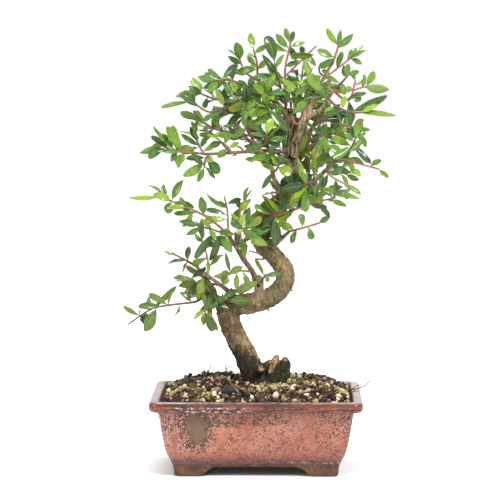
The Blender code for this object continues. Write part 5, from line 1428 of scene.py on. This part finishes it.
specks = specks * (spot(12.0, 28.0, 90.0, 22.0, 0.7) * front * 0.8 + 0.25)
lip = z.band(12.8, 13.6, 14.6, 15.4) * x.step(0.0, 40.0) * front
salmon = glaze.mix(drift.step(0.35, 0.65), (0.330, 0.105, 0.068), (0.385, 0.160, 0.112))
clay = glaze.mix(glaze.noise(2.2, 4.0, 0.6), (0.048, 0.024, 0.015), (0.110, 0.060, 0.036))
patch_clay = glaze.mix(glaze.noise(5.0, 3.0), (0.116, 0.068, 0.043), (0.162, 0.098, 0.064))
colour = glaze.layers(
    salmon, (glaze.noise(7.0, 3.0).step(0.45, 0.70) * 0.5, (0.430, 0.205, 0.155)),
    (spot(-62.0, 44.0, 34.0, 26.0, 0.7) * front * 0.5, (0.480, 0.255, 0.205)),
    (spot(-32.0, 34.0, 12.0, 14.0, 0.8) * front * 0.5, (0.400, 0.140, 0.065)),
    (redder, (0.250, 0.056, 0.050)),
    (z.step(19.0, 13.0) * 0.85, (0.140, 0.062, 0.080)),
    (specks * 0.78, (0.110, 0.036, 0.024)),
    (lip * glaze.noise(4.0).step(0.45, 0.58) * 0.7, (0.520, 0.350, 0.330)),
    (gaps, glaze.mix(bare_patch, clay, patch_clay)))
print("nodes of the glaze on the body:", len(glaze.tree.nodes))

# %% Glaze on the rim, bare clay on the feet, and the pot
rim = z.step(62.3, 63.2)
flow = glaze.noise(11.0, 3.0, 0.6)
dark_rim = (flow * 60.0 - x - 20.0).step(8.0, 26.0) * (x + flow * 12.0).step(-76.0, -62.0)
dark_rim = dark_rim.top((y - 20.0).step(0.0, 30.0) * flow.step(0.4, 0.6))
rows = glaze.noise(5.0, 3.0, 0.6, place=glaze.stretched(0.25, 0.25, 1.6))
orange = glaze.mix(rows.step(0.40, 0.62), (0.045, 0.009, 0.004), (0.195, 0.038, 0.011))
dark = glaze.mix(rows.step(0.42, 0.60), (0.016, 0.008, 0.006), (0.070, 0.034, 0.024))
dark = glaze.mix(glaze.noise(9.0).step(0.52, 0.62) * z.step(66.0, 68.0), dark,
                 (0.200, 0.055, 0.020))
# Dark glaze along the top of the rim face, and painted shade on the rim's lower edge and underside.
rim_top_dark_and_under_shade = z.step(65.5, 64.3).top(z.step(68.6, 70.0) * 0.9)
lines = z.step(66.3, 65.5).top(z.band(66.8, 67.4, 68.2, 69.0))
flecks = glaze.noise(1.9, 3.0, 0.7, 0.8, glaze.stretched(0.5, 0.5, 1.2)).step(0.53, 0.58)
flecks = flecks * lines * (dark_rim * 0.8 + 0.2)
mauve = glaze.mix(glaze.noise(6.0, 3.0).step(0.35, 0.65), (0.110, 0.060, 0.064),
                  (0.250, 0.160, 0.165))
mauve = glaze.mix(x.step(20.0, 90.0) * 0.6, mauve, (0.350, 0.250, 0.250))
worn = z.band(70.8, 71.6, 72.2, 73.0) * (0.4 + glaze.noise(5.0).step(0.40, 0.60) * 0.6)
rim_colour = glaze.layers(orange, (dark_rim * 0.92, dark),
                          # Dark top glaze and painted shade under the rim.
                          (rim_top_dark_and_under_shade * 0.5, (0.050, 0.022, 0.015)),
                          (flecks * 0.9, (0.620, 0.440, 0.390)),
                          (z.step(71.2, 72.6), mauve),
                          (worn * 0.85, (0.060, 0.026, 0.018)))
inside = glaze.given("inside") * z.step(72.4, 71.0)
bare = (z + glaze.noise(6.0) * 2.0 - 1.0).step(12.6, 11.4)
foot_clay = glaze.ramp(glaze.noise(8.0, 5.0, 0.65), (0.30, (0.040, 0.028, 0.024)),
                       (0.50, (0.098, 0.046, 0.029)), (0.70, (0.165, 0.088, 0.036)))
colour = glaze.layers(colour, (rim, rim_colour), (inside, (0.110, 0.056, 0.038)),
                      (bare, foot_clay))
body = 1 - rim
shine = (1 - bare) * (1 - gaps * body * 0.8) * (1 - bare_patch * body) * (1 - inside * 0.8)
relief = glaze.noise(3.5) * 0.4 + glaze.noise(0.9, 3.0) * bare * 0.5 - gaps * body * 0.6
glaze_finish = glaze.show(Base_Color=colour, Roughness=0.62 - shine * 0.34,
                          Coat_Weight=shine * (0.15 + rim * 0.25), Normal=glaze.bump(relief, 0.22))
inner_wall = (np.arange(len(pot_grid)) > np.argmax(pot_grid[:, 0, 2]))[:, None]
pot = shell_piece("pot_glazed", [glaze_finish], [(pot_grid, 0, None, {"inside": inner_wall})],
                  ["pot"])
turn = 2 * np.pi * np.arange(DRAIN_COLUMNS) / DRAIN_COLUMNS
for centre in (-DRAIN_X, DRAIN_X):
    ring = DRAIN_RADIUS * np.column_stack([np.cos(turn), np.sin(turn)]) + [centre, 0.0]
    drill = np.stack([level_ring(ring, z) for z in DRAIN_SPAN])
    drill = shell_piece("drill", [glaze_finish], [(drill, 0, None, {})], [])
    hole = pot.modifiers.new("hole", "BOOLEAN")
    hole.operation = "DIFFERENCE"
    hole.object = drill
    hole.solver = "EXACT"
    graph = bpy.context.evaluated_depsgraph_get()
    made = bpy.data.meshes.new_from_object(pot.evaluated_get(graph))
    pot.modifiers.clear()
    pot.data = made
    bpy.data.objects.remove(drill)
print("pot faces:", len(pot.data.polygons), "size:", [round(v, 4) for v in pot.dimensions])

# %% [markdown]
# ## Soil
# Bonsai soil is a mix of grains: dark lava, baked red-brown clay and cream pumice, sieved to about
# 2 to 5 mm. A bump map alone would leave a smooth skyline, so the bed is a dark mound, and
# thousands of crumpled grains lie on it. Each has twenty faces and its own stretch, turn and tone.

# %% Soil bed
SOIL_EDGE, SOIL_RISE = 70.4, 11.8
SOIL_HALF = (89.1, 64.1)
# Rows up the wall: inset from the pot's outline, and height.
SOIL_WALL = [(26.35, 16.3), (22.95, 23), (19.75, 38), (16.15, 57), (13.95, 63), (10.95, 67.5)]


def soil_height(x, y):
    """The mound: e + r (1 - s^4) + 4 (1 - s) y / 75, with s 0 at the trunk and 1 at the rim."""
    reach = ((abs(x) / SOIL_HALF[0]) ** 5 + (abs(y) / SOIL_HALF[1]) ** 5) ** 0.2
    s = np.clip((reach - 0.24) / 0.76, 0, 1)
    return SOIL_EDGE + SOIL_RISE * (1 - s**4) + 4 * (1 - s) * y / POT_HALF[1]


def soil_shell():
    """Rows up the pot's inner wall and over the mound towards its middle."""
    rows = [pot_ring(inset, height) for inset, height in SOIL_WALL]
    edge = pot_ring(10.85, 0)
    for share in np.linspace(1, 0.03, 44):
        row = edge * [share, share, 1]
        bumps = plane_waves(row, 5.0, 21) * 0.5 + plane_waves(row, 2.4, 22) * 0.3
        row[:, 2] = soil_height(row[:, 0], row[:, 1]) + bumps * min(1.0, 12 * (1 - share) + 0.2)
        rows.append(row)
    return np.array(rows)


bed_look = Finish("soil_bed", Roughness=0.95, Specular_IOR_Level=0.15)
earth = bed_look.noise(2.5, 4.0, 0.7)
colour = bed_look.ramp(earth, (0.35, (0.012, 0.008, 0.006)), (0.55, (0.040, 0.024, 0.016)),
                       (0.72, (0.110, 0.065, 0.038)))
bed_finish = bed_look.show(Base_Color=colour, Normal=bed_look.bump(earth, 0.8))
bed = shell_piece("soil_bed", [bed_finish], [(soil_shell(), 0, None, {})], ["soil"])
print("soil top:", round(bed.bound_box[1][2] * 1000, 1), "mm")

# %% Grains
GOLD = (1 + 5**0.5) / 2
ICO = unit(np.array([
    (-1, GOLD, 0), (1, GOLD, 0), (-1, -GOLD, 0), (1, -GOLD, 0), (0, -1, GOLD), (0, 1, GOLD),
    (0, -1, -GOLD), (0, 1, -GOLD), (GOLD, 0, -1), (GOLD, 0, 1), (-GOLD, 0, -1), (-GOLD, 0, 1)]))
ICO_FACES = np.array([
    (0, 11, 5), (0, 5, 1), (0, 1, 7), (0, 7, 10), (0, 10, 11), (1, 5, 9), (5, 11, 4), (11, 10, 2),
    (10, 7, 6), (7, 1, 8), (3, 9, 4), (3, 4, 2), (3, 2, 6), (3, 6, 8), (3, 8, 9), (4, 9, 5),
    (2, 4, 11), (6, 2, 10), (8, 6, 7), (9, 8, 1)])
GRAIN_COUNT = 4300
# Least and most of the kind's number, how crumpled, how rough, and colours by their positions.
GRAIN_KINDS = {
    "lava": (-math.inf, 0.60, 0.3, 0.75, {
        0.14: (0.006, 0.005, 0.005), 0.48: (0.028, 0.018, 0.016), 0.84: (0.110, 0.064, 0.050)}),
    "clay": (0.60, 0.80, 0.42, 0.9, {
        0.14: (0.045, 0.020, 0.012), 0.48: (0.115, 0.060, 0.036), 0.84: (0.270, 0.165, 0.100)}),
    "pumice": (0.80, math.inf, 0.42, 0.85, {
        0.14: (0.085, 0.078, 0.024), 0.40: (0.260, 0.215, 0.085), 0.62: (0.400, 0.300, 0.190),
        0.80: (0.640, 0.540, 0.360)})}
PUMICE_LIFT, PUMICE_SWELL = 0.15, 1.1


def random_turns(rng, count):
    """Rotation matrices from random unit quaternions (w, x, y, z)."""
    w, x, y, z = unit(rng.normal(size=(count, 4))).T
    rows = [[1 - 2 * (y * y + z * z), 2 * (x * y - w * z), 2 * (x * z + w * y)],
            [2 * (x * y + w * z), 1 - 2 * (x * x + z * z), 2 * (y * z - w * x)],
            [2 * (x * z - w * y), 2 * (y * z + w * x), 1 - 2 * (x * x + y * y)]]
    return np.array(rows).transpose(2, 0, 1)


def scatter_piece(name, finish, corners, faces, rng):
    """Many small flat-faced solids as one object: the corners of each (count, corners, 3), the
    faces of one, and a random tone for each."""
    count, size = corners.shape[:2]
    faces = faces[None] + size * np.arange(count)[:, None, None]
    return mesh_piece(name, [finish], corners.reshape(-1, 3), faces.reshape(-1, 3), [],
                      smooth=False, values={"tone": np.repeat(rng.random(count), size)})


def grain_piece(name, finish, places, sizes, crumple, rng):
    """Crumpled twenty-sided grains: the corners of the solid times a random radius, a stretch along
    each axis and a random turn."""
    count = len(places)
    corners = ICO[None] * (1 + crumple * rng.uniform(-1, 1, (count, 12, 1)))
    corners = corners * rng.uniform(0.52, 1.15, (count, 1, 3)) * sizes[:, None, None]
    corners = np.einsum("nij,nkj->nki", random_turns(rng, count), corners) + places[:, None]
    return scatter_piece(name, finish, corners, ICO_FACES, rng)


def grain_finish(name, rough, stops):
    """Colours across the grains, mottled inside each."""
    look = Finish(name, Roughness=rough, Specular_IOR_Level=0.12)
    speck = look.noise(0.9, 3.0, 0.7)
    colour = look.ramp(look.given("tone") * 0.70 + speck * 0.42 - 0.07, *stops.items())
    return look.show(Base_Color=colour, Normal=look.bump(speck, 0.25))


rng = np.random.default_rng(31)
spread = rng.uniform(-1, 1, (GRAIN_COUNT, 2)) * (SOIL_HALF[0] - 2.2, SOIL_HALF[1] - 2.2)
radius = 0.8 + 2.4 * rng.random(GRAIN_COUNT) ** 2.2
edge = np.clip((1 - np.maximum(*(abs(spread) / (89, 64)).T)) * 9, 0.15, 1)
sink = rng.uniform(-0.7, 1.0, GRAIN_COUNT)
places = level_ring(spread, 0.0)
kind = rng.random(GRAIN_COUNT)
kind = kind + 0.16 * plane_waves(places, 34, 41) + 0.10 * plane_waves(places, 12, 42)
kind = kind + 0.16 * (spread[:, 1] < -20) - 0.1 * (spread[:, 0] < -10)
places[:, 2] = soil_height(*spread.T) + sink * radius * edge
beside = (((spread - (9, 1)) / (23, 15)) ** 2).sum(axis=1) > 0.8
for name, (least, most, crumple, rough, stops) in GRAIN_KINDS.items():
    chosen = beside & (kind >= least) & (kind < most)
    finish = grain_finish("grain_" + name, rough, stops)
    swell, raised = (PUMICE_SWELL, PUMICE_LIFT) if name == "pumice" else (1.0, 0.0)
    grain_piece("grains_" + name, finish, places[chosen] + [0, 0, raised], radius[chosen] * swell,
                crumple, rng)
    print(name, "grains:", chosen.sum())

# %% Larger stones
# Stones: the middle, and the size.
STONES = np.array([
    (-27, -51, 9.4), (-16, -57, 5.2), (-52, 38, 4.6), (-72, 10, 4.2), (-69, 22, 4.0), (58, 30, 4.2),
    (-16, 26, 4.0), (46, 40, 4.4), (74, 22, 3.6), (30, -22, 3.2), (-44, -12, 3.4), (62, -18, 3.4)])
STONE_COLOURS = {
    0.14: (0.012, 0.012, 0.013), 0.48: (0.036, 0.034, 0.036), 0.84: (0.085, 0.078, 0.076)}
x, y, size = STONES.T
grain_piece("stones", grain_finish("stone_grey", 0.6, STONE_COLOURS),
            np.column_stack([x, y, soil_height(x, y) + 0.35 * size]), size, 0.34, rng)
print("stones:", len(STONES))

# %% [markdown]
# ## Moss and stray roots
# Bright moss grows on the right of the cut lobes and in small cushions on the soil. It is made of
# short blades with three sides, because a green stain would lie flat. A few wiry roots and hairs
# stick up out of the soil, each a thin tube along a curve.

# %% Moss
MOSS_COLOURS = {
    0.14: (0.014, 0.020, 0.008), 0.48: (0.048, 0.064, 0.018), 0.84: (0.150, 0.175, 0.050)}
CUSHION_COLOURS = {
    0.14: (0.050, 0.060, 0.008), 0.48: (0.120, 0.130, 0.020), 0.84: (0.220, 0.210, 0.050)}
# Cushions: the middle, and the size.
CUSHIONS = [(-38, 30, 9), (-26, 42, 6), (42, -8, 5), (66, -30, 6), (-60, -26, 5), (12, -32, 5),
            (80, 4, 5), (28, 8, 6), (50, 20, 5)]
LOBE_BLADES, BLADE_RADIUS = 900, 0.38
BLADE_FACES = np.array([(0, 2, 1), (0, 1, 3), (1, 2, 3), (2, 0, 3)])


def moss_piece(name, finish, feet, ways, rng):
    """Three-sided blades: a foot ring of BLADE_RADIUS, and a tip at the end of each way."""
    ways = ways * rng.uniform(0.7, 1.3, (len(feet), 1))
    across = unit(np.cross(ways, rng.normal(size=feet.shape)))
    up = unit(np.cross(ways, across))
    turn = (2 * np.pi * np.arange(3) / 3)[:, None]
    ring = np.cos(turn) * across[:, None] + np.sin(turn) * up[:, None]
    corners = np.concatenate([feet[:, None] + BLADE_RADIUS * ring, (feet + ways)[:, None]], axis=1)
    return scatter_piece(name, finish, corners, BLADE_FACES, rng)


moss_finish = grain_finish("moss_green", 0.9, MOSS_COLOURS)
cushion_finish = grain_finish("moss_olive", 0.9, CUSHION_COLOURS)
rng = np.random.default_rng(55)
lobe = (points[:, 0] > 19) & (points[:, 0] < 36) & (points[:, 2] > 79) & (points[:, 2] < 98)
lobe &= plane_waves(points, 9, 61) + 0.08 * (points[:, 0] - 22) > -0.1
chosen = rng.choice(np.flatnonzero(lobe), LOBE_BLADES, replace=False)
ways = unit(normals[chosen] + 0.6 * rng.normal(size=(LOBE_BLADES, 3)) + [0, 0, 0.3]) * 2.0
moss_piece("moss_on_lobes", moss_finish, points[chosen] - 0.2 * normals[chosen], ways, rng)
feet = []
for *centre, size in CUSHIONS:
    spread = rng.normal(size=(34 * size, 2)) * size * 0.45 + centre
    swell = 3.4 * np.exp(-((spread - centre) ** 2).sum(axis=1) / (size * 0.6) ** 2)
    feet.append(np.column_stack([spread, soil_height(*spread.T) + swell]))
feet = np.vstack(feet)
ways = unit(rng.normal(size=feet.shape) * 0.5 + [0, 0, 1.0]) * 2.2
moss_piece("moss_cushions", cushion_finish, feet, ways, rng)
print("moss blades:", len(chosen) + len(feet))

# %% Wiry roots
WIRES = [
    [(-50, 20, 79), (-49, 19, 86), (-46, 17, 91), (-44.5, 17, 96)],
    [(-49, 20, 85), (-50, 21, 88), (-51, 21, 91)],
    [(-31, 32, 82), (-30.5, 31, 88), (-29, 30, 91), (-24, 29, 93.5)],
    [(-30.5, 31, 87), (-30.5, 30, 91), (-31, 30, 94)],
    [(84, -6, 72), (90, -8, 75.5), (98, -10, 78), (104, -11, 81), (108, -11, 86)],
    [(90, -8, 75.5), (95, -5, 79), (99, -4, 80)],
    [(88, -12, 73), (93, -15, 75.5), (97, -16, 76)],
    [(52, -36, 77), (58, -40, 78.5), (64, -44, 77), (70, -47, 75)],
    [(-70, -30, 75), (-66, -36, 77.5), (-60, -38, 76.5)],
    [(-10, -34, 82), (-4, -38, 83.5), (4, -36, 81)]]
WIRE_RADII, WIRE_COLUMNS = (0.6, 0.42), 8
wire_look = Finish("root_wire", Roughness=0.7, Specular_IOR_Level=0.3)
shade = wire_look.noise(3.0, 3.0, 0.6)
colour = wire_look.ramp(shade, (0.35, (0.030, 0.015, 0.010)), (0.65, (0.120, 0.066, 0.040)))
wire_finish = wire_look.show(Base_Color=colour, Normal=wire_look.bump(shade, 0.1))
routes = [smooth_route(wire, 6) for wire in WIRES]
shells = [(ring_tube(route, np.linspace(*WIRE_RADII, len(route)), WIRE_COLUMNS), 0, None, {})
          for route in routes]
shell_piece("wiry_roots", [wire_finish], shells, [])
print("wires:", len(shells))

# %% [markdown]
# ## Drain screens
# Under the soil a moulded plastic screen lies over each drain hole. Its solid already has the right
# shape, so it stays and only gets a finish.

# %% Screen finish
screen_look = Finish("screen_moulded", Specular_IOR_Level=0.4)
texture = screen_look.noise(0.8, 3.0, 0.6)
colour = screen_look.ramp(texture, (0.3, (0.018, 0.019, 0.020)), (0.7, (0.045, 0.046, 0.048)))
screen_finish = screen_look.show(Base_Color=colour, Roughness=0.5 + texture * 0.25,
                                 Normal=screen_look.bump(texture, 0.06))
for name in ("drain_screen_left", "drain_screen_right"):
    screen = frame["nodes"][name]
    screen.data.materials.clear()
    screen.data.materials.append(screen_finish)
print("screens:", screen_finish.name)

# %% [markdown]
# ## Floor and light
# The photograph is a studio cut-out: white all round, soft light from above and both sides, and the
# faintest shadow under the feet. A pale floor, a bright world and three large soft lamps give that.

# %% Floor, world and lamps
FLOOR_HALF, FLOOR_Z = 8.0, -0.0001
GLOW_START, GLOW_END = 200.0, 800.0
LOOK_AT = Vector((0, 0, 0.2))
# Lamps: name, place, size in metres and power in watts.
LAMPS = [("key", (1.0, -1.3, 1.8), 0.6, 62.0), ("fill", (-1.6, -1.2, 1.2), 0.9, 22.0),
         ("top", (-0.3, 0.7, 2.0), 0.9, 30.0)]
floor_look = Finish("floor_pale", Roughness=0.6, Specular_IOR_Level=0.1, Emission_Strength=1.0)
tint = floor_look.noise(900.0)
away = (floor_look.axis("X") ** 2 + floor_look.axis("Y") ** 2).step(GLOW_START**2, GLOW_END**2)
floor_finish = floor_look.show(
    Base_Color=floor_look.mix(tint, (0.70, 0.70, 0.70), (0.72, 0.72, 0.725)),
    Emission_Color=floor_look.mix(away, (0.0, 0.0, 0.0), (0.4, 0.4, 0.4)))
floor_mesh = bpy.data.meshes.new("floor")
corners = [(-1, -1), (1, -1), (1, 1), (-1, 1)]
floor_mesh.from_pydata([(x * FLOOR_HALF, y * FLOOR_HALF, FLOOR_Z) for x, y in corners], [],
                       [(0, 1, 2, 3)])
floor_mesh.materials.append(floor_finish)
floor = bpy.data.objects.new("floor", floor_mesh)
bpy.context.scene.collection.objects.link(floor)
world = bpy.data.worlds.new("studio")
world.use_nodes = True
background = world.node_tree.nodes["Background"]
background.inputs["Color"].default_value = (1.0, 1.0, 1.0, 1.0)
background.inputs["Strength"].default_value = 1.0
bpy.context.scene.world = world
bpy.context.scene.view_settings.view_transform = "Standard"
for name, place, size, power in LAMPS:
    lamp = bpy.data.lights.new(name, "AREA")
    lamp.size = size
    lamp.energy = power
    holder = bpy.data.objects.new(name, lamp)
    holder.location = place
    holder.rotation_euler = (LOOK_AT - Vector(place)).to_track_quat("-Z", "Y").to_euler()
    bpy.context.scene.collection.objects.link(holder)
print("lamps:", len(LAMPS))

# %% [markdown]
# ## Sizes
# The dressed tree must stay inside the solid model's box.
